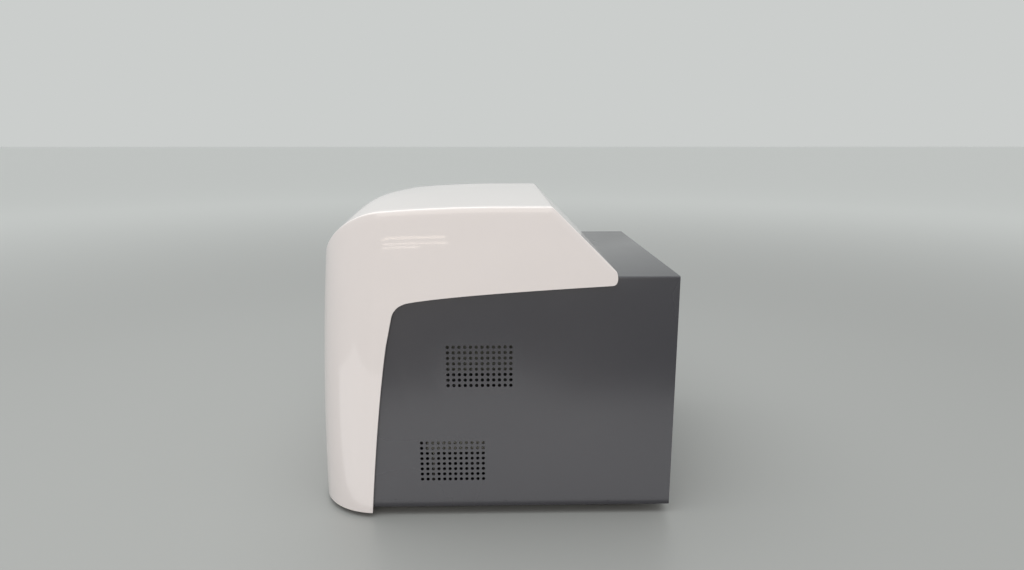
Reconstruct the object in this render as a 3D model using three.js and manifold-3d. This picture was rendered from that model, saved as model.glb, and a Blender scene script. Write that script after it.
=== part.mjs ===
// A benchtop real-time thermal cycler, as an assembly of separate named parts, in millimetres.
// +Z is up and the front faces -Y. The origin is on the table, under the middle of the machine.
// A white moulded hood, shaped like an upturned L, sits over a folded sheet-steel chassis. Behind
// its front door a hinged heated lid, with a scanning optics carriage inside, closes on a 96-well block.
import * as THREE from "three";
import { mergeVertices } from "three/addons/utils/BufferGeometryUtils.js";
import Module from "manifold-3d";

const wasm = await Module();
wasm.setup();

// ---------------------------------------------------------------- driving dimensions

const HOOD = { halfWidth: 224, wall: 5, front: -242.5, bottom: 7.1, top: 422.5, rear: 159, cornerRadius: 85 };
const FRONT_LEAN = 22.5; // how far the front face has leaned back by the height of the top
const CHASSIS = { halfWidth: 218, rear: 240.4, bottom: 13.7, top: 332.7, sheet: 1.5 };
const CHASSIS_FRONT = { low: -164.6, high: -148 }; // its front edge leans back with the hood's leg
const VENT = { columns: 12, rows: 8, pitch: 7.5, hole: 4.5, margin: 6 };
const UPPER_VENT = { y: -18.2, z: 213.5 };
const LOWER_VENT = { y: -55.4, z: 80 };
const BAY_X = -74; // middle of the sample bay, left of the machine's middle
const DOOR = { halfWidth: 104, low: 148, high: 352, skin: 3, sideGap: 1.5, topGap: 4.5 };
const DOOR_AXIS = { y: -196, z: 369 };
const BLOCK = { columns: 12, rows: 8, pitch: 9, low: 180, high: 199.5 };
const WELL = { top: 3.1, foot: 1.3, depth: 15 };
const BLOCK_Y = -110;
const LID = { halfWidth: 94, front: -178, back: 2, low: 220, high: 284, wall: 3, axisY: 12, axisZ: 232 };
const CARRIAGE = { width: 24, travel: 99 };
const BELT = { pulleyRadius: 8, thickness: 1.4, height: 6, y: -26, z: 262 };
const SCREEN = { x: 101, z: 274, width: 96, height: 154 };
const FAN = { size: 92, depth: 25, z: 236 };
const EXHAUST_FAN_X = { left: -128, right: -18 };
const BLOCK_FAN = { size: 120, depth: 25.4, low: 84 };
const REAR_SCREW_Z = [27.5, 144.6];
const GAP = 0.3; // between parts that touch
const REAR_LIMIT = 242.5; // the furthest point at the back: the fan guards and screw heads

// ---------------------------------------------------------------- finishes

function finish(color, roughness, metalness = 0) {
  return new THREE.MeshStandardMaterial({ color, roughness, metalness });
}

const FINISH = {
  whitePlastic: finish(0xdcd8d6, 0.25),
  darkPaint: finish(0x4b4a50, 0.55, 0.1),
  blackPaint: finish(0x1c1c1e, 0.6),
  blackPlastic: finish(0x202124, 0.5),
  greyPlastic: finish(0x6c6e72, 0.5),
  rubber: finish(0x141414, 0.85),
  zinc: finish(0xb9b8ae, 0.4, 0.8),
  steel: finish(0xb4b6b8, 0.3, 1),
  aluminium: finish(0xc6c8ca, 0.35, 1),
  glass: finish(0x0c0f14, 0.08),
  boardGreen: finish(0x2f6b45, 0.5),
  ceramic: finish(0xe6e2d8, 0.6),
};

// ---------------------------------------------------------------- solids

// Turns a closed geometry into a solid that can be joined and cut.
function solid(geometry) {
  const bare = geometry.clone();
  bare.deleteAttribute("normal");
  bare.deleteAttribute("uv");
  const merged = mergeVertices(bare, 1e-4);
  const corners = [];
  for (let i = 0; i < merged.index.count; i += 3) {
    const [a, b, c] = [0, 1, 2].map((k) => merged.index.getX(i + k));
    if (a !== b && b !== c && c !== a) corners.push(a, b, c);
  }
  const vertProperties = new Float32Array(merged.attributes.position.array);
  return new wasm.Manifold(new wasm.Mesh({ numProp: 3, vertProperties, triVerts: new Uint32Array(corners) }));
}

// Adds a finished solid to the assembly as one named mesh.
function add(group, name, made, material) {
  const { vertProperties, triVerts } = made.getMesh();
  const geometry = new THREE.BufferGeometry();
  geometry.setAttribute("position", new THREE.BufferAttribute(new Float32Array(vertProperties), 3));
  geometry.setIndex(new THREE.BufferAttribute(new Uint32Array(triVerts), 1));
  geometry.computeVertexNormals();
  const mesh = new THREE.Mesh(geometry, material);
  mesh.name = name;
  group.add(mesh);
  return mesh;
}

// A box between two values on each axis.
function box(x0, x1, y0, y1, z0, z1) {
  const geometry = new THREE.BoxGeometry(x1 - x0, y1 - y0, z1 - z0);
  return solid(geometry.translate((x0 + x1) / 2, (y0 + y1) / 2, (z0 + z1) / 2));
}

// A round bar, or a cone with a second radius at its far end, along one axis from a start point.
function bar(axis, start, length, radius, sides = 16, farRadius = radius) {
  const geometry = new THREE.CylinderGeometry(farRadius, radius, length, sides).translate(0, length / 2, 0);
  if (axis === "z") geometry.rotateX(Math.PI / 2);
  if (axis === "x") geometry.rotateZ(-Math.PI / 2);
  return solid(geometry.translate(...start));
}

// An outline in the side view (Y across, Z up), carried along X.
function sidePrism(outline, x0, x1, divisions = 10) {
  const geometry = new THREE.ExtrudeGeometry(outline, {
    depth: x1 - x0,
    bevelEnabled: false,
    curveSegments: divisions,
  });
  const toSideView = new THREE.Matrix4().set(0, 0, 1, x0, 1, 0, 0, 0, 0, 1, 0, 0, 0, 0, 0, 1);
  return solid(geometry.applyMatrix4(toSideView));
}

// An outline in the top view (X across, Y deep), carried up from z0 to z1.
function planPrism(outline, z0, z1, divisions = 10) {
  const geometry = new THREE.ExtrudeGeometry(outline, {
    depth: z1 - z0,
    bevelEnabled: false,
    curveSegments: divisions,
  });
  return solid(geometry.translate(0, 0, z0));
}

// Closed outlines with the same number of points, joined level by level into one solid.
function stack(rings) {
  const count = rings[0].length;
  const corners = [];
  rings.slice(1).forEach((_, level) => {
    for (let i = 0; i < count; i += 1) {
      const a = level * count + i;
      const b = level * count + ((i + 1) % count);
      corners.push(a, b, b + count, a, b + count, a + count);
    }
  });
  const flat = rings[0].map((p) => new THREE.Vector2(p.x, p.y));
  const last = (rings.length - 1) * count;
  for (const [a, b, c] of THREE.ShapeUtils.triangulateShape(flat, [])) {
    corners.push(a, c, b, last + a, last + b, last + c);
  }
  const geometry = new THREE.BufferGeometry().setFromPoints(rings.flat());
  geometry.setIndex(corners);
  return solid(geometry);
}

const outlineOf = (...points) => new THREE.Shape(points.map(([a, b]) => new THREE.Vector2(a, b)));
const union = (parts) => parts.reduce((whole, part) => whole.add(part));
const cut = (whole, parts) => parts.reduce((rest, part) => rest.subtract(part), whole);
const turned = (made, degrees) => made.rotate([degrees[0], degrees[1], degrees[2]]);
const moved = (made, x, y, z) => made.translate([x, y, z]);

// ---------------------------------------------------------------- hood

// How far forward the front face is at a height: a gentle curve that leans back towards the top.
function frontAt(z) {
  return HOOD.front + FRONT_LEAN * ((z - HOOD.bottom) / (HOOD.top - HOOD.bottom)) ** 2;
}

// The hood seen from above, lofted up its height: straight sides and large round front corners.
// It is drawn inset from the outer surface, so the same shape serves as the inside of the shell.
function hoodPlanLoft(inset, low, high) {
  const halfWidth = HOOD.halfWidth - inset;
  const radius = HOOD.cornerRadius - inset;
  const levels = 7;
  const arcSteps = 7;
  const rear = HOOD.rear + 20;
  const rings = [];
  for (let level = 0; level <= levels; level += 1) {
    const z = low + ((high - low) * level) / levels;
    const front = frontAt(z) + inset;
    const ring = [new THREE.Vector3(halfWidth, rear, z), new THREE.Vector3(-halfWidth, rear, z)];
    for (let i = 0; i <= arcSteps; i += 1) {
      const turn = (Math.PI / 2) * (i / arcSteps);
      const across = halfWidth - radius + radius * Math.cos(turn);
      ring.push(new THREE.Vector3(-across, front + radius - radius * Math.sin(turn), z));
    }
    for (let i = arcSteps; i >= 0; i -= 1) {
      const turn = (Math.PI / 2) * (i / arcSteps);
      const across = halfWidth - radius + radius * Math.cos(turn);
      ring.push(new THREE.Vector3(across, front + radius - radius * Math.sin(turn), z));
    }
    rings.push(ring);
  }
  return stack(rings);
}

// The hood seen from the side: a front leg, a top, and a back that slopes down at 45 degrees.
// Its front line runs just ahead of the lofted front face, which then trims it.
function hoodSideOutline() {
  const ahead = 4;
  const outline = new THREE.Shape();
  outline.moveTo(-165, HOOD.bottom);
  outline.quadraticCurveTo(-153.7, 154.6, -139.6, 243.7);
  outline.lineTo(-131, 282.4);
  outline.quadraticCurveTo(-127, 297, -106, 298.5);
  outline.quadraticCurveTo(20, 310.6, 152.6, 320.3);
  outline.quadraticCurveTo(HOOD.rear, 321, HOOD.rear, 328);
  outline.quadraticCurveTo(HOOD.rear, 340, 154, 344);
  outline.lineTo(77, 421);
  outline.quadraticCurveTo(75.5, HOOD.top, 73, HOOD.top);
  outline.lineTo(9.6, HOOD.top);
  outline.quadraticCurveTo(-45, HOOD.top, -100, 419.5);
  outline.bezierCurveTo(-180, 415, -212, 388, -228.5, 340);
  outline.lineTo(HOOD.front - ahead, 200);
  outline.lineTo(HOOD.front - ahead, HOOD.bottom);
  return outline;
}

// The same side view for the inside of the shell, running on past the lower edge so it stays open.
function hoodInsideOutline() {
  const wall = HOOD.wall;
  const ahead = 4;
  const slopeBack = 77 + 421 - wall * Math.SQRT2;
  const outline = new THREE.Shape();
  outline.moveTo(HOOD.front + wall - ahead, -20);
  outline.lineTo(slopeBack - 300, -20);
  outline.lineTo(slopeBack - 300, 300);
  outline.lineTo(slopeBack - 332, 332);
  outline.lineTo(slopeBack - (HOOD.top - wall), HOOD.top - wall);
  outline.lineTo(9.6, HOOD.top - wall);
  outline.quadraticCurveTo(-45, HOOD.top - wall, -100, 419.5 - wall);
  outline.bezierCurveTo(-178, 415 - wall, -207, 388 - wall / 2, -223, 338);
  outline.lineTo(HOOD.front + wall - ahead, 200);
  return outline;
}

// The space that the round front corners and the leaning front face leave for the hood, at an inset.
function hoodSolid(inset) {
  const outline = inset > 0 ? hoodInsideOutline() : hoodSideOutline();
  const halfWidth = HOOD.halfWidth - inset;
  const plan = hoodPlanLoft(inset, HOOD.bottom - 30, HOOD.top + 5);
  return plan.intersect(sidePrism(outline, -halfWidth, halfWidth, 6));
}

// The block of space that the front door closes, with a gap on the sides and a larger one on top.
function doorWindow(sideGap, topGap) {
  const half = DOOR.halfWidth - sideGap;
  return box(BAY_X - half, BAY_X + half, -270, -205, DOOR.low + sideGap, DOOR.high - topGap);
}

// A block through the front wall for the tilted display panel.
function screenWindow(extra) {
  const half = [SCREEN.width / 2 + extra, SCREEN.height / 2 + extra];
  return box(SCREEN.x - half[0], SCREEN.x + half[0], -270, -210, SCREEN.z - half[1], SCREEN.z + half[1]);
}

const BUTTON = { x: SCREEN.x, z: 168, radius: 9 };
const USB = { x: SCREEN.x + 34, z: 168, width: 17, height: 9 };

function frontHood() {
  const inside = HOOD.halfWidth - HOOD.wall;
  const chassisSpace = box(-inside, inside, 60, 260, 290, CHASSIS.top + 0.5);
  return cut(hoodSolid(0), [
    hoodSolid(HOOD.wall),
    chassisSpace,
    doorWindow(0, 0),
    screenWindow(1),
    bar("y", [BUTTON.x, -270, BUTTON.z], 60, BUTTON.radius + 0.6, 20),
    box(USB.x - USB.width / 2 - 0.6, USB.x + USB.width / 2 + 0.6, -270, -210, USB.z - 5.1, USB.z + 5.1),
  ]);
}

// ---------------------------------------------------------------- sheet-metal chassis

// One vent's outer size, with its margin, on a side of the cover.
const VENT_WIDTH = (VENT.columns - 1) * VENT.pitch + VENT.hole + 2 * VENT.margin;
const VENT_HEIGHT = (VENT.rows - 1) * VENT.pitch + VENT.hole + 2 * VENT.margin;

function ventBox(side, at, extra) {
  const x = [CHASSIS.halfWidth - CHASSIS.sheet, CHASSIS.halfWidth].map((v) => side * v).sort((a, b) => a - b);
  const [w, h] = [VENT_WIDTH / 2 + extra, VENT_HEIGHT / 2 + extra];
  const through = extra > 0 ? 5 : 0;
  return box(x[0] - through, x[1] + through, at.y - w, at.y + w, at.z - h, at.z + h);
}

// A folded cover: two full-height sides, joined by a top that is bare only behind the hood.
function chassisCover() {
  const { halfWidth, rear, bottom, top, sheet } = CHASSIS;
  const outline = outlineOf([CHASSIS_FRONT.low, bottom], [rear, bottom], [rear, top],
    [CHASSIS_FRONT.high, top]);
  const sides = [-1, 1].map((side) => {
    const x = [side * halfWidth, side * (halfWidth - sheet)].sort((a, b) => a - b);
    return sidePrism(outline, x[0], x[1]);
  });
  const roof = box(-halfWidth, halfWidth, 66, rear, top - sheet, top);
  const windows = [ventBox(1, UPPER_VENT, GAP), ventBox(1, LOWER_VENT, GAP), ventBox(-1, LOWER_VENT, GAP)];
  return cut(union([...sides, roof]), windows);
}

// A perforated panel, 12 holes by 8, that fills one window of the cover.
function ventScreen(side, at) {
  const reach = CHASSIS.halfWidth + 5;
  const holes = [];
  for (let column = 0; column < VENT.columns; column += 1) {
    for (let row = 0; row < VENT.rows; row += 1) {
      const y = at.y + (column - (VENT.columns - 1) / 2) * VENT.pitch;
      const z = at.z + (row - (VENT.rows - 1) / 2) * VENT.pitch;
      holes.push(bar("x", [side > 0 ? reach - 15 : -reach, y, z], 15, VENT.hole / 2, 4));
    }
  }
  return ventBox(side, at, 0).subtract(union(holes));
}

// A shallow tray with upturned sides, cut off at the front corners to clear the round hood.
function basePan() {
  const half = CHASSIS.halfWidth - 3.5;
  const { bottom, sheet } = CHASSIS;
  const rear = 236;
  const [front, corner] = [{ x: 150, y: -228 }, -158];
  const outline = outlineOf([-half, rear], [-half, corner], [-front.x, front.y], [front.x, front.y],
    [half, corner], [half, rear]);
  const flanges = [-half, half - sheet].map((x) => box(x, x + sheet, corner, rear, bottom, bottom + 24));
  return union([planPrism(outline, bottom, bottom + sheet), ...flanges]);
}

function foot(x, y) {
  return bar("z", [x, y, 0], CHASSIS.bottom - GAP, 14, 20, 16);
}

const POWER_MODULE = { x: 150, z: 76, width: 48, height: 58 };
const ROCKER = { x: 150, z: 92, width: 21, height: 15 };
const PORTS = { x: 150, z: 190, width: 64, height: 20 };

function hole(at, extra) {
  const [w, h] = [at.width / 2 + extra, at.height / 2 + extra];
  return box(at.x - w, at.x + w, 200, 260, at.z - h, at.z + h);
}

function rearPanel() {
  const { halfWidth, rear, bottom, top, sheet } = CHASSIS;
  const inside = halfWidth - sheet - 0.5;
  const plate = box(-inside, inside, rear - sheet, rear, bottom + 2, top - 2);
  const fanHole = FAN.size / 2 - 3;
  const fanHoles = Object.values(EXHAUST_FAN_X).map((x) => bar("y", [x, 220, FAN.z], 40, fanHole, 24));
  return cut(plate, [...fanHoles, hole(POWER_MODULE, GAP), hole(PORTS, GAP)]);
}

// A pan-head screw that holds the cover's rear edge.
function rearScrew(side, z) {
  return bar("y", [side * 208, CHASSIS.rear + GAP, z], REAR_LIMIT - CHASSIS.rear - GAP, 3.6, 12, 2.8);
}

// ---------------------------------------------------------------- fans

// A square fan frame: a round duct, and arms that carry the motor in the middle of its far side.
function fanFrame(size, depth) {
  const half = size / 2;
  const bore = half - 3;
  const shell = box(-half, half, -half, half, 0, depth).subtract(bar("z", [0, 0, -1], depth + 2, bore, 24));
  const hub = bar("z", [0, 0, 0], 3, size * 0.2, 16);
  const arms = [0, 90].map((degrees) => turned(box(-half + 1, half - 1, -2, 2, 0, 3), [0, 0, degrees]));
  return union([shell, hub, ...arms]);
}

// A hub with seven pitched blades, which turns inside the frame just above the arms.
function fanRotor(size, depth) {
  const tip = size / 2 - 5;
  const hubRadius = size * 0.19;
  const blades = 7;
  const hub = bar("z", [0, 0, 4], depth - 6, hubRadius, 20);
  const blade = turned(box(hubRadius - 3, tip, -1, 1, -11, 11), [-38, 0, 0]);
  const raised = moved(blade, 0, 0, depth / 2 + 0.5);
  const ring = Array.from({ length: blades }, (_, i) => turned(raised, [0, 0, (360 / blades) * i]));
  return union([hub, ...ring]);
}

// A finger guard of concentric rings on four spokes.
function fanGuard(x) {
  const depth = REAR_LIMIT - CHASSIS.rear - GAP;
  const start = CHASSIS.rear + GAP;
  const ringAt = (radius) => {
    const outer = bar("y", [x, start, FAN.z], depth, radius, 16);
    return outer.subtract(bar("y", [x, start - 1, FAN.z], depth + 2, radius - 2, 16));
  };
  const rings = [22, 40].map(ringAt);
  const reach = FAN.size / 2 + 1;
  const spokes = [45, 135].map((degrees) => {
    const spoke = turned(box(-reach, reach, 0, depth, -1.2, 1.2), [0, degrees, 0]);
    return moved(spoke, x, start, FAN.z);
  });
  return union([...rings, ...spokes]);
}

// Turns a fan drawn around +Z so that it lies behind the rear panel and faces backwards.
function atRear(made, x) {
  return moved(turned(made, [-90, 0, 0]), x, CHASSIS.rear - CHASSIS.sheet - FAN.depth - GAP, FAN.z);
}

const underBlock = (made) => moved(made, BAY_X, BLOCK_Y, BLOCK_FAN.low);

// ---------------------------------------------------------------- rear connections

// A moulded module with an appliance inlet below and the pocket of the rocker switch above.
function powerInlet() {
  const { x, z, width, height } = POWER_MODULE;
  const rear = CHASSIS.rear;
  const body = box(x - width / 2, x + width / 2, rear - 25, rear + 1.4, z - height / 2, z + height / 2);
  const socketZ = z - 14;
  const socket = box(x - 12, x + 12, rear - 15, rear + 5, socketZ - 8, socketZ + 8);
  const pocket = box(x - ROCKER.width / 2, x + ROCKER.width / 2, rear - 14, rear + 5,
    ROCKER.z - ROCKER.height / 2, ROCKER.z + ROCKER.height / 2);
  const blades = [-7, 0, 7].map((dx) => {
    const lift = dx === 0 ? 3 : -1;
    return box(x + dx - 1, x + dx + 1, rear - 16, rear - 3, socketZ + lift - 2, socketZ + lift + 2);
  });
  return union([cut(body, [socket, pocket]), ...blades]);
}

// A block of shielded data sockets: one network socket and two small serial ones.
function portPanel() {
  const { x, z, width, height } = PORTS;
  const rear = CHASSIS.rear;
  const body = box(x - width / 2, x + width / 2, rear - 18, rear + 1, z - height / 2, z + height / 2);
  const socket = (from, to, half) => box(x + from, x + to, rear - 12, rear + 5, z - half, z + half);
  return cut(body, [socket(-28, -14, 6), socket(-6, 7, 3), socket(14, 27, 3)]);
}

// A rocker that has been pressed down at its lower end: two faces that meet at a shallow angle.
const ROCKER_TILT = 10;

function powerRocker() {
  const half = ROCKER.height / 2 - 0.8;
  const outline = outlineOf([-5, -half], [0.9, -half], [0, 0], [0.9, half], [-5, half], [-7, 0]);
  const key = sidePrism(outline, -ROCKER.width / 2 + 0.6, ROCKER.width / 2 - 0.6);
  return moved(turned(key, [ROCKER_TILT, 0, 0]), ROCKER.x, CHASSIS.rear, ROCKER.z);
}

// ---------------------------------------------------------------- sample bay

const BLOCK_HALF = { x: 64, y: 43 };

// A bored aluminium plate with tapered wells at the 9 mm pitch of a 96-well plate.
function sampleBlock() {
  const wells = [];
  for (let column = 0; column < BLOCK.columns; column += 1) {
    for (let row = 0; row < BLOCK.rows; row += 1) {
      const x = BAY_X + (column - (BLOCK.columns - 1) / 2) * BLOCK.pitch;
      const y = BLOCK_Y + (row - (BLOCK.rows - 1) / 2) * BLOCK.pitch;
      const foot = [x, y, BLOCK.high - WELL.depth];
      wells.push(bar("z", foot, WELL.depth + 0.5, WELL.foot, 6, WELL.top));
    }
  }
  return bayBox(BLOCK_HALF.x, BLOCK_HALF.y, BLOCK.low, BLOCK.high).subtract(union(wells));
}

// A box centred over the sample block.
function bayBox(halfX, halfY, z0, z1) {
  return box(BAY_X - halfX, BAY_X + halfX, BLOCK_Y - halfY, BLOCK_Y + halfY, z0, z1);
}

const HEAT_SINK = { halfX: 74, halfY: 53, low: 112, base: 163, high: 175.2, fins: 13, fin: 2.4 };

function heatSink() {
  const { halfX, halfY, low, base, high, fins, fin } = HEAT_SINK;
  const plate = bayBox(halfX, halfY, base, high);
  const blades = Array.from({ length: fins }, (_, i) => {
    const x = BAY_X - halfX + fin / 2 + ((2 * halfX - fin) * i) / (fins - 1);
    return box(x - fin / 2, x + fin / 2, BLOCK_Y - halfY, BLOCK_Y + halfY, low, base + 1);
  });
  return union([plate, ...blades]);
}

// The heat sink hangs in the window of a bridge, a steel deck on two legs that stand in the base pan.
function blockDeck() {
  const top = 172;
  const [left, right] = [BAY_X - 122, BAY_X + 122];
  const deck = box(left, right, -200, 150, top - 2, top);
  const floor = CHASSIS.bottom + CHASSIS.sheet + GAP;
  const legs = [box(left, left + 2, -150, 150, floor, top), box(right - 2, right, -150, 150, floor, top)];
  const window = bayBox(HEAT_SINK.halfX + 1.5, HEAT_SINK.halfY + 1.5, top - 10, top + 10);
  return union([deck, ...legs]).subtract(window);
}

const LINER = { half: 112, front: -204, back: 56, low: 176, high: 340, floor: 2.5, wall: 2 };

// A moulded tray around the lid, open to the front door and upwards, with a window over the block.
function chamberLiner() {
  const { half, front, back, low, high, wall } = LINER;
  const [left, right] = [BAY_X - half, BAY_X + half];
  const floor = box(left, right, front, back, low, low + LINER.floor);
  const apron = box(left, right, front, front + wall, DOOR.low - 6, low + LINER.floor);
  const leftWall = box(left, left + wall, front, back, low, high);
  const rightWall = box(right - wall, right, front, back, low, high);
  const rearWall = box(left, right, back - wall, back, low, high);
  const window = bayBox(BLOCK_HALF.x + 4, BLOCK_HALF.y + 4, low - 5, low + 5);
  return union([floor, apron, leftWall, rightWall, rearWall]).subtract(window);
}

// A frame around the block that carries the edge of the sample plate.
function blockSurround() {
  const low = LINER.low + LINER.floor + GAP;
  const hole = bayBox(BLOCK_HALF.x + 1, BLOCK_HALF.y + 1, low - 1, BLOCK.high);
  return bayBox(BLOCK_HALF.x + 16, BLOCK_HALF.y + 16, low, BLOCK.high - 2.5).subtract(hole);
}

// ---------------------------------------------------------------- heated lid

const PIN = { radius: 4, length: 2 * LID.halfWidth + 8 };
const HINGE_EAR = { x: LID.halfWidth - 6, thickness: 4, radius: 9.3 };
const LID_LUG = { x: LID.halfWidth - 16, thickness: 6 };

// Two ears on one foot plate, with the pin's holes. The ears are round at the top, so that the
// back of the lid, which stands just ahead of them, can swing over them.
function lidHingeFrame() {
  const low = LINER.low + LINER.floor + GAP;
  const { radius, thickness } = HINGE_EAR;
  const reach = HINGE_EAR.x + thickness;
  const ears = [-reach, HINGE_EAR.x].map((x) => {
    const stem = box(BAY_X + x, BAY_X + x + thickness, LID.axisY - radius, LID.axisY + radius, low, LID.axisZ);
    return stem.add(bar("x", [BAY_X + x, LID.axisY, LID.axisZ], thickness, radius, 24));
  });
  const plate = box(BAY_X - reach, BAY_X + reach, LID.axisY - radius, LID.axisY + radius, low, low + 3);
  const bore = bar("x", [BAY_X - reach - 5, LID.axisY, LID.axisZ], 2 * reach + 10, PIN.radius + GAP, 16);
  return union([plate, ...ears]).subtract(bore);
}

function lidHingePin() {
  return bar("x", [BAY_X - PIN.length / 2, LID.axisY, LID.axisZ], PIN.length, PIN.radius, 16);
}

// A moulded cover, open underneath, with two lugs behind that turn on the hinge pin.
function lidHousing() {
  const { halfWidth, front, back, low, high, wall, axisY, axisZ } = LID;
  const outline = outlineOf([front, low], [back, low], [back, high - 8], [back - 8, high],
    [front + 16, high], [front, high - 16]);
  const shell = sidePrism(outline, BAY_X - halfWidth, BAY_X + halfWidth);
  const hollow = sidePrism(
    outlineOf([front + wall, low - 5], [back - wall, low - 5], [back - wall, high - 10], [back - 10, high - wall],
      [front + 17, high - wall], [front + wall, high - 17]),
    BAY_X - halfWidth + wall, BAY_X + halfWidth - wall);
  const lugs = [-1, 1].map((side) => {
    const x = [side * LID_LUG.x, side * (LID_LUG.x + LID_LUG.thickness)].sort((a, b) => a - b);
    return box(BAY_X + x[0], BAY_X + x[1], back - 1, axisY + 9, axisZ - 9, axisZ + 9);
  });
  const bore = bar("x", [BAY_X - 120, axisY, axisZ], 240, PIN.radius + 0.4, 16);
  const handleSlot = box(BAY_X - 44, BAY_X + 44, front - 5, front + 1.2, 232, 262);
  return cut(union([shell.subtract(hollow), ...lugs]), [bore, handleSlot]);
}

const PLATE = { low: 224, high: 228 };

// The plate that everything in the lid is mounted on, with a window for the light path.
function lidBasePlate() {
  const half = LID.halfWidth - LID.wall - 0.5;
  const [front, back] = [LID.front + LID.wall + 0.5, LID.back - LID.wall - 0.5];
  const plate = box(BAY_X - half, BAY_X + half, front, back, PLATE.low, PLATE.high);
  return plate.subtract(bayBox(54, 36, 200, 240));
}

function heaterPlate() {
  return bayBox(64, 44, 214, PLATE.low - GAP).subtract(bayBox(50, 32, 219, 240));
}

const ROD = { radius: 3, z: 244, front: -162, rear: -58 };

function guideRod(y) {
  const half = LID.halfWidth - LID.wall - 1;
  return bar("x", [BAY_X - half, y, ROD.z], 2 * half, ROD.radius, 12);
}

// The scanning head: a block on both rods, with a lens barrel that looks down, and a belt clamp.
const CARRIAGE_START = BAY_X - CARRIAGE.travel / 2;

function opticsCarriage() {
  const half = CARRIAGE.width / 2;
  const head = box(CARRIAGE_START - half, CARRIAGE_START + half, ROD.front - 7, ROD.rear + 7, 236, 268);
  const barrel = bar("z", [CARRIAGE_START, BLOCK_Y, 229], 10, 9, 16);
  const beltFront = BELT.y - BELT.pulleyRadius - 2.2;
  const clamp = box(CARRIAGE_START - 8, CARRIAGE_START + 8, ROD.rear + 6, beltFront, 256, 268);
  const bore = ROD.radius + 0.35;
  const bores = [ROD.front, ROD.rear].map((y) => bar("x", [CARRIAGE_START - 40, y, ROD.z], 80, bore, 12));
  return cut(union([head, barrel, clamp]), bores);
}

const MOTOR = { x: BAY_X + 66, half: 17.5, low: PLATE.high + GAP, high: 252 };
const IDLER_X = BAY_X - 72;

function scanMotor() {
  const { x, half, low, high } = MOTOR;
  const body = box(x - half, x + half, BELT.y - half, BELT.y + half, low, high);
  return body.add(bar("z", [x, BELT.y, high - 1], 16, 2.5, 12));
}

function pulley(x) {
  const flange = 1;
  const low = BELT.z - BELT.height / 2 - flange - GAP;
  const barrel = bar("z", [x, BELT.y, low], BELT.height + 2 * flange + 2 * GAP, BELT.pulleyRadius - 0.3, 16);
  const rim = BELT.pulleyRadius + 1.5;
  const plates = [low, BELT.z + BELT.height / 2 + GAP].map((z) => bar("z", [x, BELT.y, z], flange, rim, 16));
  return union([barrel, ...plates]).subtract(bar("z", [x, BELT.y, low - 5], 30, 2.85, 10));
}

function idlerPost() {
  return bar("z", [IDLER_X, BELT.y, PLATE.high + GAP], 40, 2.5, 12);
}

// A flat toothed belt, drawn as its closed loop around both pulleys.
function beltLoop() {
  const loop = (radius) => {
    const outline = new THREE.Shape();
    outline.absarc(IDLER_X, BELT.y, radius, Math.PI / 2, -Math.PI / 2, false);
    outline.absarc(MOTOR.x, BELT.y, radius, -Math.PI / 2, Math.PI / 2, false);
    return outline;
  };
  const [low, high] = [BELT.z - BELT.height / 2, BELT.z + BELT.height / 2];
  const inner = BELT.pulleyRadius + 0.2;
  const outer = planPrism(loop(inner + BELT.thickness), low, high, 7);
  return outer.subtract(planPrism(loop(inner), low - 1, high + 1, 7));
}

// A bail handle that drops against the front of the lid and pulls forward to release it.
const HANDLE = { half: 42, axisY: LID.front - 3, axisZ: 256 };

function lidHandle() {
  const y = HANDLE.axisY;
  const arms = [-1, 1].map((side) => {
    const x = [side * HANDLE.half, side * (HANDLE.half - 5)].sort((a, b) => a - b);
    return box(BAY_X + x[0], BAY_X + x[1], y - 14, y + 2, 234, 260);
  });
  const grip = box(BAY_X - HANDLE.half, BAY_X + HANDLE.half, y - 18, y - 10, 232, 246);
  return union([...arms, grip]);
}

// ---------------------------------------------------------------- front door

// The part of the hood's skin that fills the bay opening, with a folded lip as a finger pull.
function frontDoor() {
  const skin = hoodSolid(0).subtract(hoodPlanLoft(DOOR.skin, HOOD.bottom - 30, HOOD.top + 5));
  const panel = skin.intersect(doorWindow(DOOR.sideGap, DOOR.topGap));
  const z = DOOR.low + 8;
  const lip = box(BAY_X - 40, BAY_X + 40, frontAt(z) + 1, frontAt(z) + 16, z, z + 3);
  return panel.add(lip);
}

// A gooseneck arm, bent back behind the lintel so that it clears it as the door swings up.
function doorArm(side) {
  const x = [BAY_X + side * 97, BAY_X + side * 100].sort((a, b) => a - b);
  const reach = doorInnerFace(side) + GAP - DOOR_AXIS.y;
  const outline = outlineOf([-4, 3], [16, -2], [29, -17], [29, -39], [13, -51], [reach, -51], [reach, -43],
    [10, -43], [21, -35], [21, -20], [13, -9], [-3, -4]);
  const arm = moved(sidePrism(outline, x[0], x[1]), 0, DOOR_AXIS.y, DOOR_AXIS.z);
  const eye = bar("x", [x[0], DOOR_AXIS.y, DOOR_AXIS.z], 3, 5, 12);
  return arm.add(eye).subtract(bar("x", [x[0] - 5, DOOR_AXIS.y, DOOR_AXIS.z], 13, 2.8, 10));
}

// Where the door's inner face is, beside an arm's foot: further back where the hood's corner begins.
function doorInnerFace(side) {
  const outerEdge = Math.abs(BAY_X + side * 100);
  const past = Math.max(0, outerEdge - (HOOD.halfWidth - HOOD.cornerRadius));
  const radius = HOOD.cornerRadius - DOOR.skin;
  return frontAt(DOOR_AXIS.z - 43) + DOOR.skin + radius - Math.sqrt(radius ** 2 - past ** 2);
}

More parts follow.
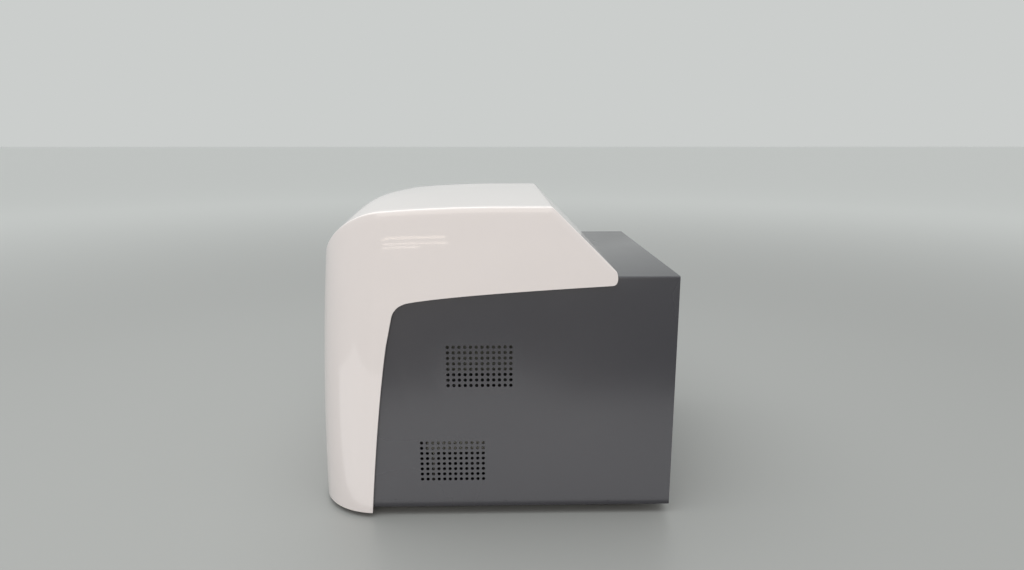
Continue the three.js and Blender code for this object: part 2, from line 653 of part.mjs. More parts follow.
// A block under the hood's brow, with the pivot pin that an arm's eye turns on.
function doorPivot(side) {
  const x = [BAY_X + side * 101, BAY_X + side * 108].sort((a, b) => a - b);
  const body = box(x[0], x[1], DOOR_AXIS.y - 5, DOOR_AXIS.y + 7, DOOR_AXIS.z - 6, DOOR_AXIS.z + 6);
  const pinStart = BAY_X + (side > 0 ? 95 : -102);
  return body.add(bar("x", [pinStart, DOOR_AXIS.y, DOOR_AXIS.z], 7, 2.5, 12));
}

// ---------------------------------------------------------------- display and controls

// The display leans back with the front face.
const SCREEN_LEAN = THREE.MathUtils.radToDeg(
  Math.atan2(frontAt(SCREEN.z + 70) - frontAt(SCREEN.z - 70), 140));

// Places a display part, drawn upright around the screen's middle with its face at y = 0.
function inDisplay(made) {
  return moved(turned(made, [-SCREEN_LEAN, 0, 0]), SCREEN.x, frontAt(SCREEN.z) + 0.6, SCREEN.z);
}

function panelBox(halfWidth, halfHeight, y0, y1) {
  return box(-halfWidth, halfWidth, y0, y1, -halfHeight, halfHeight);
}

const GLASS = { halfWidth: 42, halfHeight: 68 };

function screenBezel() {
  const frame = panelBox(SCREEN.width / 2, SCREEN.height / 2, 0, 8);
  return inDisplay(frame.subtract(panelBox(GLASS.halfWidth + 0.4, GLASS.halfHeight + 0.4, -1, 9)));
}

const touchScreen = () => inDisplay(panelBox(GLASS.halfWidth, GLASS.halfHeight, 0.6, 5));
const displayBoard = () => inDisplay(panelBox(46, 74, 8.5, 12));

function powerButton() {
  const face = frontAt(BUTTON.z);
  return bar("y", [BUTTON.x, face - 0.8, BUTTON.z], 9, BUTTON.radius, 20);
}

function frontUsbSocket() {
  const { x, z, width, height } = USB;
  const face = frontAt(z);
  const body = box(x - width / 2, x + width / 2, face + 0.6, face + 18, z - height / 2, z + height / 2);
  return body.subtract(box(x - 6.2, x + 6.2, face - 5, face + 14, z - 2.6, z + 2.6));
}

// ---------------------------------------------------------------- electronics

const SUPPLY = { left: 70, right: 196, front: -86, rear: 110, low: 198, high: 244 };
const SHELF = { left: 66, right: 200, front: -92, rear: 150, low: 84, lip: 122, sheet: 2 };
const BOARD = { left: 70, right: 194, front: -80, rear: 130, low: 92, high: 94 };

// A steel case with a lower terminal block along its rear end.
function powerSupply() {
  const { left, right, front, rear, low, high } = SUPPLY;
  const terminals = box(left + 6, right - 6, rear, rear + 12, low + 2, low + 18);
  return box(left, right, front, rear, low, high).add(terminals);
}

// A plated shelf on two cross walls, with a turned-up edge that faces the lower side vent.
function boardShelf() {
  const { left, right, front, rear, low, lip, sheet } = SHELF;
  const shelf = box(left, right, front, rear, low, low + sheet);
  const edge = box(right - sheet, right, front, rear, low, lip);
  const floor = CHASSIS.bottom + CHASSIS.sheet + GAP;
  const walls = [front + 8, rear - 10].map((y) => box(left, right, y, y + sheet, floor, low + 1));
  return union([shelf, edge, ...walls]);
}

// The main circuit board on four spacers, with a heat spreader and a row of connectors.
function mainBoard() {
  const { left, right, front, rear, low, high } = BOARD;
  const spacers = [left + 6, right - 6].flatMap((x) =>
    [front + 6, rear - 6].map((y) => bar("z", [x, y, SHELF.low + SHELF.sheet + GAP], 6, 3, 8)));
  const spreader = box(left + 30, left + 70, -20, 30, high - 0.5, high + 18);
  const connectors = [-60, 60, 90].map((y) => box(left + 8, left + 20, y, y + 20, high - 0.5, high + 10));
  return union([box(left, right, front, rear, low, high), ...spacers, spreader, ...connectors]);
}

// ---------------------------------------------------------------- assembly

const machine = new THREE.Group();
const sides = { left: -1, right: 1 };

add(machine, "front_hood", frontHood(), FINISH.whitePlastic);
add(machine, "chassis_cover", chassisCover(), FINISH.darkPaint);
add(machine, "rear_panel", rearPanel(), FINISH.darkPaint);
add(machine, "base_pan", basePan(), FINISH.blackPaint);
add(machine, "block_deck", blockDeck(), FINISH.zinc);
add(machine, "chamber_liner", chamberLiner(), FINISH.blackPlastic);

add(machine, "vent_screen_upper_right", ventScreen(sides.right, UPPER_VENT), FINISH.darkPaint);

for (const [name, side] of Object.entries(sides)) {
  add(machine, `vent_screen_lower_${name}`, ventScreen(side, LOWER_VENT), FINISH.darkPaint);
  add(machine, `foot_front_${name}`, foot(side * 165, -172), FINISH.rubber);
  add(machine, `foot_rear_${name}`, foot(side * 180, 198), FINISH.rubber);
  REAR_SCREW_Z.forEach((z, i) => add(machine, `rear_screw_${name}_${i + 1}`, rearScrew(side, z), FINISH.steel));
  add(machine, `door_pivot_${name}`, doorPivot(side), FINISH.blackPlastic);
  add(machine, `door_arm_${name}`, doorArm(side), FINISH.zinc);
  const fanX = EXHAUST_FAN_X[name];
  add(machine, `exhaust_fan_frame_${name}`, atRear(fanFrame(FAN.size, FAN.depth), fanX), FINISH.blackPlastic);
  add(machine, `exhaust_fan_rotor_${name}`, atRear(fanRotor(FAN.size, FAN.depth), fanX), FINISH.blackPlastic);
  add(machine, `fan_guard_${name}`, fanGuard(fanX), FINISH.steel);
}

add(machine, "front_door", frontDoor(), FINISH.whitePlastic);
add(machine, "screen_bezel", screenBezel(), FINISH.blackPlastic);
add(machine, "touch_screen", touchScreen(), FINISH.glass);
add(machine, "display_board", displayBoard(), FINISH.boardGreen);
add(machine, "power_button", powerButton(), FINISH.greyPlastic);
add(machine, "front_usb_socket", frontUsbSocket(), FINISH.steel);

add(machine, "sample_block", sampleBlock(), FINISH.aluminium);
add(machine, "peltier_plate", bayBox(60, 40, HEAT_SINK.high + GAP, BLOCK.low - GAP), FINISH.ceramic);
add(machine, "heat_sink", heatSink(), FINISH.aluminium);
add(machine, "block_surround", blockSurround(), FINISH.blackPlastic);
add(machine, "block_fan_frame", underBlock(fanFrame(BLOCK_FAN.size, BLOCK_FAN.depth)), FINISH.blackPlastic);
add(machine, "block_fan_rotor", underBlock(fanRotor(BLOCK_FAN.size, BLOCK_FAN.depth)), FINISH.blackPlastic);

add(machine, "lid_hinge_frame", lidHingeFrame(), FINISH.zinc);
add(machine, "lid_hinge_pin", lidHingePin(), FINISH.steel);
add(machine, "lid_housing", lidHousing(), FINISH.greyPlastic);
add(machine, "lid_base_plate", lidBasePlate(), FINISH.aluminium);
add(machine, "heater_plate", heaterPlate(), FINISH.aluminium);
add(machine, "lid_handle", lidHandle(), FINISH.greyPlastic);
add(machine, "guide_rod_front", guideRod(ROD.front), FINISH.steel);
add(machine, "guide_rod_rear", guideRod(ROD.rear), FINISH.steel);
add(machine, "optics_carriage", opticsCarriage(), FINISH.blackPlastic);
add(machine, "scan_motor", scanMotor(), FINISH.steel);
add(machine, "drive_pulley", pulley(MOTOR.x), FINISH.aluminium);
add(machine, "idler_pulley", pulley(IDLER_X), FINISH.aluminium);
add(machine, "idler_post", idlerPost(), FINISH.steel);
add(machine, "scan_belt", beltLoop(), FINISH.rubber);

add(machine, "power_supply", powerSupply(), FINISH.zinc);
add(machine, "board_shelf", boardShelf(), FINISH.zinc);
add(machine, "main_board", mainBoard(), FINISH.boardGreen);
add(machine, "power_inlet", powerInlet(), FINISH.blackPlastic);
add(machine, "port_panel", portPanel(), FINISH.steel);
add(machine, "power_rocker", powerRocker(), FINISH.blackPlastic);

export default machine;
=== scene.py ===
# A benchtop thermal cycler: a white moulded hood over a dark sheet-steel chassis.
import math

import bmesh
import bpy
import numpy as np
from mathutils import Matrix, Vector


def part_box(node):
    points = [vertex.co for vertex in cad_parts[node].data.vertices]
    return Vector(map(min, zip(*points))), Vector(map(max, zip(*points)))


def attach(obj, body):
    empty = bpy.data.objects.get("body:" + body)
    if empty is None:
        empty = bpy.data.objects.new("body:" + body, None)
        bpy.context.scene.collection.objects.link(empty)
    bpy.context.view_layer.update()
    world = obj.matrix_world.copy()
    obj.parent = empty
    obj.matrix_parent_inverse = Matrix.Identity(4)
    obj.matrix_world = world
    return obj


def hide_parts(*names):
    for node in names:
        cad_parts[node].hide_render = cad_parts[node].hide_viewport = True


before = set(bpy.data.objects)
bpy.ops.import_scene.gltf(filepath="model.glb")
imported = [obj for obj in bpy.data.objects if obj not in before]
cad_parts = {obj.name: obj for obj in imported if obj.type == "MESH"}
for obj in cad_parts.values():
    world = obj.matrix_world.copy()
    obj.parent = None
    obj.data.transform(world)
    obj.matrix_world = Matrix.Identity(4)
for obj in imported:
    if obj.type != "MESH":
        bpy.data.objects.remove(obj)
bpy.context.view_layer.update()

MM = 0.001
scene = bpy.context.scene

# ---------------------------------------------------------------- camera and studio
# The machine stands on a bench in an evenly lit pale room. The bench is a darker grey round the machine,
# partly its own tone and partly painted shade for the machine's dark reflection, and pales with distance.
# The light is a large soft ceiling panel and a weaker side panel. Three narrow strips draw short streaks on
# the glossy hood, and a low panel lifts the reflection of the bench in the coated sides.

camera_data = bpy.data.cameras.new("camera")
camera_data.sensor_width = 36
camera_data.lens = 24.05
camera = bpy.data.objects.new("camera", camera_data)
CAMERA_PLACE = Vector((1071.2, 7.4, 505.5)) * MM
CAMERA_YAW, CAMERA_PITCH = math.radians(1.15), math.radians(12.12)
forward = Vector((-math.cos(CAMERA_YAW) * math.cos(CAMERA_PITCH),
                  math.sin(CAMERA_YAW) * math.cos(CAMERA_PITCH),
                  -math.sin(CAMERA_PITCH)))
camera.location = CAMERA_PLACE
camera.rotation_euler = forward.to_track_quat("-Z", "Y").to_euler()
scene.collection.objects.link(camera)
scene.camera = camera

scene.view_settings.view_transform = "Standard"
world = bpy.data.worlds.new("room")
world.use_nodes = True
world.node_tree.nodes["Background"].inputs["Color"].default_value = (0.855, 0.88, 0.865, 1)
world.node_tree.nodes["Background"].inputs["Strength"].default_value = 0.70
scene.world = world


def soft_lamp(name, place, target, size, power, warmth=1.0):
    """An oblong area lamp at a place, aimed at a target. Its blue falls as warmth drops below one."""
    data = bpy.data.lights.new(name, "AREA")
    data.shape = "RECTANGLE"
    data.size, data.size_y = size
    data.energy = power
    data.color = (1.0, 0.5 + 0.5 * warmth, warmth)
    lamp = bpy.data.objects.new(name, data)
    lamp.location = place
    lamp.rotation_euler = (Vector(target) - Vector(place)).to_track_quat("-Z", "Y").to_euler()
    scene.collection.objects.link(lamp)
    return lamp


ceiling = soft_lamp("ceiling_panel", (0.2, -0.5, 2.6), (0, 0, 0.2), (3.4, 3.2), 58)
ceiling.data.color = (0.96, 1.0, 0.99)
soft_lamp("side_fill", (2.6, -0.2, 1.0), (0, 0, 0.2), (1.8, 1.4), 17.5, 0.86)
bench_glow = soft_lamp("bench_glow", (0.50, 0.0, 0.012), (0.50, 0.0, 1.0), (0.54, 1.8), 2.8)
HOOD_SIDE = (0.224, -0.12, 0.381)
streaks = [soft_lamp("strip_warm", (2.0, -0.36, 0.130), HOOD_SIDE, (0.34, 0.008), 0.045, 0.7),
           soft_lamp("strip_low", (2.0, -0.34, 0.108), HOOD_SIDE, (0.30, 0.006), 0.028, 0.75),
           soft_lamp("strip_lowest", (2.0, -0.40, 0.092), HOOD_SIDE, (0.20, 0.006), 0.018, 0.75)]
for lamp in (bench_glow, *streaks):
    lamp.visible_camera = False
    lamp.visible_diffuse = False


def value_node(tree, kind, **settings):
    """Adds one shader node, sets its properties, and returns it."""
    node = tree.nodes.new(kind)
    for key, value in settings.items():
        setattr(node, key, value)
    return node


# The near grey is partly the bench's own tone and partly painted shade, for the machine's dark reflection in
# it.
BENCH_NEAR_WITH_PAINTED_SHADE, BENCH_FAR = (0.345, 0.345, 0.34), (0.82, 0.83, 0.82)
BENCH_PALES_FROM, BENCH_PALES_TO = 1.2, 5.0
BENCH_REACH = 40


def bench_material(name, near, far, roughness):
    """A satin surface: one grey round the machine, which blends to a paler one with distance. The grey round
    the machine is partly the bench's own tone and partly painted shade, for the machine's dark reflection.
    """
    material = bpy.data.materials.new(name)
    material.use_nodes = True
    tree = material.node_tree
    shader = tree.nodes["Principled BSDF"]
    shader.inputs["Roughness"].default_value = roughness
    distance = value_node(tree, "ShaderNodeVectorMath", operation="LENGTH")
    spread = value_node(tree, "ShaderNodeMapRange", interpolation_type="SMOOTHSTEP")
    spread.inputs["From Min"].default_value = BENCH_PALES_FROM
    spread.inputs["From Max"].default_value = BENCH_PALES_TO
    shade = value_node(tree, "ShaderNodeMixRGB")
    shade.inputs["Color1"].default_value = (*near, 1)
    shade.inputs["Color2"].default_value = (*far, 1)
    coordinates = value_node(tree, "ShaderNodeTexCoord")
    tree.links.new(coordinates.outputs["Object"], distance.inputs[0])
    tree.links.new(distance.outputs["Value"], spread.inputs["Value"])
    tree.links.new(spread.outputs["Result"], shade.inputs["Fac"])
    tree.links.new(shade.outputs["Color"], shader.inputs["Base Color"])
    return material


bench_corners = [(a * BENCH_REACH, b * BENCH_REACH, 0) for a, b in ((-1, -1), (1, -1), (1, 1), (-1, 1))]
bench_mesh = bpy.data.meshes.new("bench")
bench_mesh.from_pydata(bench_corners, [], [(0, 1, 2, 3)])
bench_mesh.materials.append(bench_material("bench top with painted shade", BENCH_NEAR_WITH_PAINTED_SHADE, BENCH_FAR, 0.36))
plane = bpy.data.objects.new("bench", bench_mesh)
scene.collection.objects.link(plane)

# ---------------------------------------------------------------- hood
# The hood is one moulding in gloss white plastic, 5 mm thick, shaped like an upturned L: a front
# leg with large round corners, a flat top, and a back that slopes down over the chassis. It is
# held to the chassis from inside, and its edges are rounded by the mould.

hood_low, hood_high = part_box("front_hood")
HOOD_HALF = hood_high.x
HOOD_FRONT = hood_low.y
HOOD_BOTTOM, HOOD_TOP = hood_low.z, hood_high.z
HOOD_WALL, HOOD_CORNER = 5 * MM, 85 * MM
OUTER_EDGE, INNER_EDGE = 2.7 * MM, 0.8 * MM
HOOD_LEAN, LEAN_TOP = 22.5 * MM, 422.5 * MM
BROW_FOOT, BROW_RISE, BROW_SWELL = 340 * MM, 36 * MM, 10 * MM


def front_at(z):
    """Y of the front face at a height: it leans back with the square of the height above its foot."""
    return HOOD_FRONT + HOOD_LEAN * ((z - HOOD_BOTTOM) / (LEAN_TOP - HOOD_BOTTOM)) ** 2


def front_slope(z):
    """How fast the front face moves back with height, the derivative of front_at."""
    return 2 * HOOD_LEAN * (z - HOOD_BOTTOM) / (LEAN_TOP - HOOD_BOTTOM) ** 2


def bezier(points, count):
    """A Bezier curve of any degree: each point weighs in by the binomial of t, for t from 0 to 1."""
    points = np.array(points, float)
    degree = len(points) - 1
    t = np.linspace(0, 1, count)[:, None]
    terms = [math.comb(degree, k) * t**k * (1 - t) ** (degree - k) * points[k] for k in range(degree + 1)]
    return sum(terms)


def hood_crown():
    """The side outline above the front face, as rows of (Y, Z): the round brow, the long rise to the
    flat top, the top, the rounded rear edge, and the 45 degree back, which runs on past its end."""
    brow = np.array([front_at(BROW_FOOT), BROW_FOOT])
    rise = np.array([front_slope(BROW_FOOT), 1.0]) * BROW_RISE
    brow_end, flat_start, flat_end = (-0.140, 0.4166), (0.0096, HOOD_TOP), (0.0715, HOOD_TOP)
    back_start, back_end = (0.0770, HOOD_TOP - 0.0023), (0.200, HOOD_TOP - 0.1253)
    return np.concatenate([
        bezier([brow, brow + rise, (-0.182, 0.4128), brow_end], 30)[:-1],
        bezier([brow_end, (-0.065, HOOD_TOP), flat_start], 14)[:-1],
        bezier([flat_start, flat_end], 6)[:-1],
        bezier([flat_end, (0.0747, HOOD_TOP), back_start], 6)[:-1],
        bezier([back_start, back_end], 12),
    ])


def unit(vectors):
    """Each vector divided by its own length."""
    return vectors / np.linalg.norm(vectors, axis=-1, keepdims=True)


def hood_skin(inset, fillet, levels=40, across=22, turn=6):
    """The hood's surface, set in by an amount, as two grids of points.
    The crown grid runs along the side outline; across it go a wall line up, a rolled edge, the
    outline carried along X, the other rolled edge, and a wall line down. A wall line keeps its
    distance behind the leaning front face. Between its edges the brow swells by a parabola of X
    times the squared sine of the cube of its climb. The front grid is that face between its corners."""
    half, corner = HOOD_HALF - inset, HOOD_CORNER - inset
    path = hood_crown()
    climb = np.clip((path[:, 1] - BROW_FOOT) / (HOOD_TOP - BROW_FOOT), 0, 1)
    swell = np.where(path[:, 0] < 0, BROW_SWELL * np.sin(math.pi * climb**3) ** 2, 0)
    tangent = unit(np.gradient(path, axis=0))
    crown_normal = np.stack([-tangent[:, 1], tangent[:, 0]], 1)
    path = path - crown_normal * inset
    behind = np.clip(path[:, 0] - front_at(path[:, 1]) - inset, 0, corner)
    away = corner - behind
    edge_x = half - corner + np.sqrt(np.maximum(corner**2 - away**2, 0))
    sine = away / corner
    cosine = np.sqrt(np.maximum(1 - sine**2, 0))
    wall_normal = unit(np.stack([cosine, -sine, sine * front_slope(path[:, 1])], 1))
    top_normal = np.stack([np.zeros(len(path)), crown_normal[:, 0], crown_normal[:, 1]], 1)
    wall_normal[0] = top_normal[0]
    key = np.stack([edge_x, path[:, 0], path[:, 1]], 1)
    likeness = np.sum(wall_normal * top_normal, 1, keepdims=True)
    centre = key - fillet * (wall_normal + top_normal) / (1 + likeness)
    share = np.linspace(0, 1, turn)[None, :, None]
    normals = unit((1 - share) * wall_normal[:, None] + share * top_normal[:, None])
    rolled = centre[:, None] + fillet * normals
    foot = rolled[:, 0]
    set_back = foot[:, 1] - front_at(foot[:, 2])
    height = np.linspace(0, 1, levels)[None, :]
    wall_z = HOOD_BOTTOM + (foot[:, 2:3] - HOOD_BOTTOM) * height
    wall = np.stack([np.repeat(foot[:, 0:1], levels, 1), front_at(wall_z) + set_back[:, None], wall_z], 2)
    lip = rolled[:, -1]
    span = np.linspace(1, -1, across)[None, :, None]
    roof = lip[:, None] * np.array([0.0, 1, 1]) + span * lip[:, None] * np.array([1.0, 0, 0])
    roof = roof + swell[:, None, None] * (1 - span**2) * top_normal[:, None]
    flip = np.array([-1.0, 1, 1])
    crown = np.concatenate([wall, rolled[:, 1:], roof[:, 1:-1], (rolled[:, 1:] * flip)[:, ::-1],
                            (wall * flip)[:, ::-1]], 1)
    face = np.stack([np.broadcast_to(wall[0, :, 0][:, None] * np.linspace(1, -1, across), (levels, across)),
                     np.repeat(wall[0, :, 1][:, None], across, 1),
                     np.repeat(wall[0, :, 2][:, None], across, 1)], 2)
    return crown, face


def grid_faces(rows, columns, start=0, wrap=False):
    """The four-sided faces between neighbours on a grid of points, counted row by row."""
    index = start + np.arange(rows * columns).reshape(rows, columns)
    if wrap:
        index = np.concatenate([index, index[:, :1]], 1)
    return np.stack([index[:-1, :-1], index[1:, :-1], index[1:, 1:], index[:-1, 1:]], -1).reshape(-1, 4)


def ring_bridge(first, second):
    """Faces that join two rings of point numbers, one by one, all the way round."""
    return np.stack([first, np.roll(first, -1), np.roll(second, -1), second], 1)


def closed_mesh(name, points, faces, weld=2e-5):
    """A mesh from points and faces, with its doubles merged and its faces turned outwards."""
    mesh = bpy.data.meshes.new(name)
    mesh.from_pydata(np.asarray(points, float).tolist(), [], [list(map(int, f)) for f in faces])
    made = bmesh.new()
    made.from_mesh(mesh)
    bmesh.ops.remove_doubles(made, verts=made.verts, dist=weld)
    bmesh.ops.dissolve_degenerate(made, edges=made.edges, dist=1e-6)
    bmesh.ops.recalc_face_normals(made, faces=made.faces)
    made.to_mesh(mesh)
    made.free()
    return mesh


def hood_shell(thickness):
    """A closed shell between the outer skin and the same skin set in by the thickness."""
    outer = hood_skin(0, OUTER_EDGE)
    inner = hood_skin(thickness, INNER_EDGE)
    points, faces, rims = [], [], []
    start = 0
    for crown, face in (outer, inner):
        rows, columns = crown.shape[:2]
        levels, across = face.shape[:2]
        crown_index = start + np.arange(rows * columns).reshape(rows, columns)
        face_start = start + rows * columns
        face_index = face_start + np.arange(levels * across).reshape(levels, across)
        faces += [grid_faces(rows, columns, start), grid_faces(levels, across, face_start)]
        rims.append(np.concatenate([crown_index[::-1, 0], face_index[0, 1:-1], crown_index[:, -1],
                                    crown_index[-1, ::-1][1:-1]]))
        points += [crown.reshape(-1, 3), face.reshape(-1, 3)]
        start = face_start + levels * across
    faces.append(ring_bridge(*rims))
    return closed_mesh("hood_shell", np.concatenate(points), np.concatenate(faces))


def prism(outline, axis, low, high):
    """A closed solid: an outline of 2D points carried straight along one axis. For axis X the
    outline is (Y, Z), for Y it is (X, Z) and for Z it is (X, Y)."""
    outline = np.asarray(outline, float)
    count = len(outline)
    ends = []
    for level in (low, high):
        ends.append(np.insert(outline, "XYZ".index(axis), level, axis=1))
    first, second = np.arange(count), np.arange(count) + count
    faces = [list(f) for f in ring_bridge(first, second)] + [list(first[::-1]), list(second)]
    return closed_mesh("prism", np.concatenate(ends), faces)


def rounded_outline(low, high, radius, steps=6):
    """A rectangle between two corners, whose own corners are quarter circles."""
    (a0, b0), (a1, b1) = low, high
    turn = np.linspace(0, math.pi / 2, steps)
    corners = [(a1 - radius, b1 - radius, 0), (a0 + radius, b1 - radius, 1),
               (a0 + radius, b0 + radius, 2), (a1 - radius, b0 + radius, 3)]
    arcs = [np.stack([a + radius * np.cos(turn + q * math.pi / 2),
                      b + radius * np.sin(turn + q * math.pi / 2)], 1) for a, b, q in corners]
    return np.concatenate(arcs)


def carve(mesh, tools, operation="DIFFERENCE"):
    """Cuts a closed mesh by each tool in turn, or keeps what they share, and returns a new mesh."""
    for tool in tools:
        work = bpy.data.objects.new("work", mesh)
        cutter = bpy.data.objects.new("cutter", tool)
        for item in (work, cutter):
            scene.collection.objects.link(item)
        change = work.modifiers.new("carve", "BOOLEAN")
        change.object, change.operation, change.solver = cutter, operation, "EXACT"
        graph = bpy.context.evaluated_depsgraph_get()
        mesh = bpy.data.meshes.new_from_object(work.evaluated_get(graph))
        bpy.data.objects.remove(work)
        bpy.data.objects.remove(cutter)
    return mesh


def place_piece(name, mesh, material, body, replaced=(), ease=0.0, sharp=35.0, segments=2):
    """Makes a piece from a mesh: smooth shading with sharp folds, softened edges, material, body."""
    mesh.name = name
    mesh.materials.clear()
    mesh.materials.append(material)
    mesh.polygons.foreach_set("use_smooth", np.ones(len(mesh.polygons), bool))
    mesh.polygons.foreach_set("material_index", np.zeros(len(mesh.polygons), np.int32))
    mesh.set_sharp_from_angle(angle=math.radians(sharp))
    piece = bpy.data.objects.new(name, mesh)
    scene.collection.objects.link(piece)
    if ease:
        bevel = piece.modifiers.new("eased edges", "BEVEL")
        bevel.width, bevel.segments = ease, segments
        bevel.limit_method, bevel.angle_limit = "ANGLE", math.radians(sharp)
        bevel.miter_outer = "MITER_ARC"
        bevel.harden_normals = True
    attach(piece, body)
    if replaced:
        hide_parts(*replaced)
    return piece


def surface_grain_group():
    """A shared effect: fine grain for bump, and slow smears that vary colour and roughness."""
    group = bpy.data.node_groups.new("Surface grain", "ShaderNodeTree")
    face = group.interface
    for name, kind, default in (("Color", "NodeSocketColor", (0.5, 0.5, 0.5, 1)),
                                ("Shade", "NodeSocketFloat", 0.05),
                                ("Grain Scale", "NodeSocketFloat", 800.0),
                                ("Smear Scale", "NodeSocketFloat", 12.0),
                                ("Roughness", "NodeSocketFloat", 0.4),
                                ("Smear", "NodeSocketFloat", 0.1), ("Fleck", "NodeSocketFloat", 0.0)):
        face.new_socket(name, in_out="INPUT", socket_type=kind).default_value = default
    for name, kind in (("Color", "NodeSocketColor"), ("Roughness", "NodeSocketFloat"),
                       ("Height", "NodeSocketFloat")):
        face.new_socket(name, in_out="OUTPUT", socket_type=kind)
    enter, leave = value_node(group, "NodeGroupInput"), value_node(group, "NodeGroupOutput")
    place = value_node(group, "ShaderNodeTexCoord").outputs["Object"]
    grain = value_node(group, "ShaderNodeTexNoise")
    grain.inputs["Detail"].default_value = 3
    smear = value_node(group, "ShaderNodeTexNoise")
    smear.inputs["Detail"].default_value = 5
    smear.inputs["Distortion"].default_value = 0.6
    for noise, scale in ((grain, "Grain Scale"), (smear, "Smear Scale")):
        group.links.new(place, noise.inputs["Vector"])
        group.links.new(enter.outputs[scale], noise.inputs["Scale"])

    def math_node(operation, *values):
        """One sum on plain numbers or on other nodes' outputs."""
        node = value_node(group, "ShaderNodeMath", operation=operation)
        for socket, value in zip(node.inputs, values):
            if isinstance(value, (int, float)):
                socket.default_value = value
            else:
                group.links.new(value, socket)
        return node.outputs[0]

    drift = math_node("SUBTRACT", smear.outputs["Fac"], 0.5)
    speck = math_node("SUBTRACT", grain.outputs["Fac"], 0.5)
    shade = math_node("MULTIPLY", drift, enter.outputs["Shade"])
    fleck = math_node("MULTIPLY", speck, enter.outputs["Fleck"])
    brightness = math_node("ADD", math_node("ADD", shade, fleck), 1.0)
    tint = value_node(group, "ShaderNodeHueSaturation")
    group.links.new(enter.outputs["Color"], tint.inputs["Color"])
    group.links.new(brightness, tint.inputs["Value"])
    rough = math_node("ADD", enter.outputs["Roughness"], math_node("MULTIPLY", drift, enter.outputs["Smear"]))
    group.links.new(tint.outputs["Color"], leave.inputs["Color"])
    group.links.new(rough, leave.inputs["Roughness"])
    group.links.new(grain.outputs["Fac"], leave.inputs["Height"])
    return group


SURFACE_GRAIN = surface_grain_group()


def grained(name, color, roughness, grain_scale=900.0, bump=0.05, bump_depth=0.05 * MM, shade=0.06,
            smear=0.12, smear_scale=10.0, fleck=0.0, metallic=0.0, coat=0.0, coat_roughness=0.05, ior=1.5):
    """A Principled material whose colour, roughness and bump come from the surface grain group."""
    material = bpy.data.materials.new(name)
    material.use_nodes = True
    tree = material.node_tree
    shader = tree.nodes["Principled BSDF"]
    shader.inputs["Metallic"].default_value = metallic
    shader.inputs["IOR"].default_value = ior
    shader.inputs["Coat Weight"].default_value = coat
    shader.inputs["Coat Roughness"].default_value = coat_roughness
    grain = value_node(tree, "ShaderNodeGroup", node_tree=SURFACE_GRAIN)
    values = {"Color": (*color, 1), "Shade": shade, "Grain Scale": grain_scale, "Smear Scale": smear_scale,
              "Roughness": roughness, "Smear": smear, "Fleck": fleck}
    for socket, value in values.items():
        grain.inputs[socket].default_value = value
    relief = value_node(tree, "ShaderNodeBump")
    relief.inputs["Strength"].default_value = bump
    relief.inputs["Distance"].default_value = bump_depth
    tree.links.new(grain.outputs["Color"], shader.inputs["Base Color"])
    tree.links.new(grain.outputs["Roughness"], shader.inputs["Roughness"])
    tree.links.new(grain.outputs["Height"], relief.inputs["Height"])
    tree.links.new(relief.outputs["Normal"], shader.inputs["Normal"])
    return material


WHITE_GLOSS = grained("gloss white moulding", (0.78, 0.718, 0.712), 0.38, grain_scale=90, bump=0.06,
                      shade=0.025, smear=0.10, smear_scale=7, coat=0.8, coat_roughness=0.03)


def hood_underside():
    """The outline of all that lies below and behind the hood, seen from the side as (Y, Z): up the
    back of the leg, round the inner corner, along the lower edge, and round the tip at the back. It
    closes far behind and below the machine."""
    leg_foot, leg_bend, leg_top = (-0.165, HOOD_BOTTOM), (-0.1385, 0.2420), (-0.1300, 0.2810)
    edge_front, edge_rear, tip_end = (-0.1030, 0.3010), (0.1526, 0.3216), (0.1550, 0.3450)
    return np.concatenate([
        [(-0.164, -0.05)],
        bezier([leg_foot, (-0.1530, 0.1546), leg_bend], 26),
        bezier([leg_bend, leg_top], 5)[1:],
        bezier([leg_top, (-0.1255, 0.2985), edge_front], 12)[1:],
        bezier([edge_front, (-0.048, 0.3102), edge_rear], 26)[1:],
        bezier([edge_rear, (0.1595, 0.3220), (0.1600, 0.3285), (0.1600, 0.3360), tip_end], 12)[1:],
        [(0.150, 0.360), (0.30, 0.360), (0.30, -0.05)],
    ])


door_low, door_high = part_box("front_door")
bezel_low, bezel_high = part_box("screen_bezel")
button_low, button_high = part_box("power_button")
usb_low, usb_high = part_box("front_usb_socket")
chassis_low, chassis_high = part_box("chassis_cover")
DOOR_GAP, DOOR_TOP_GAP = 1.5 * MM, 4.5 * MM
BEZEL_GAP, SMALL_GAP = 1.0 * MM, 0.6 * MM


def round_outline(x, z, radius, count=48):
    """A circle of points around a centre."""
    turn = np.linspace(0, 2 * math.pi, count, endpoint=False)
    return np.stack([x + radius * np.cos(turn), z + radius * np.sin(turn)], 1)


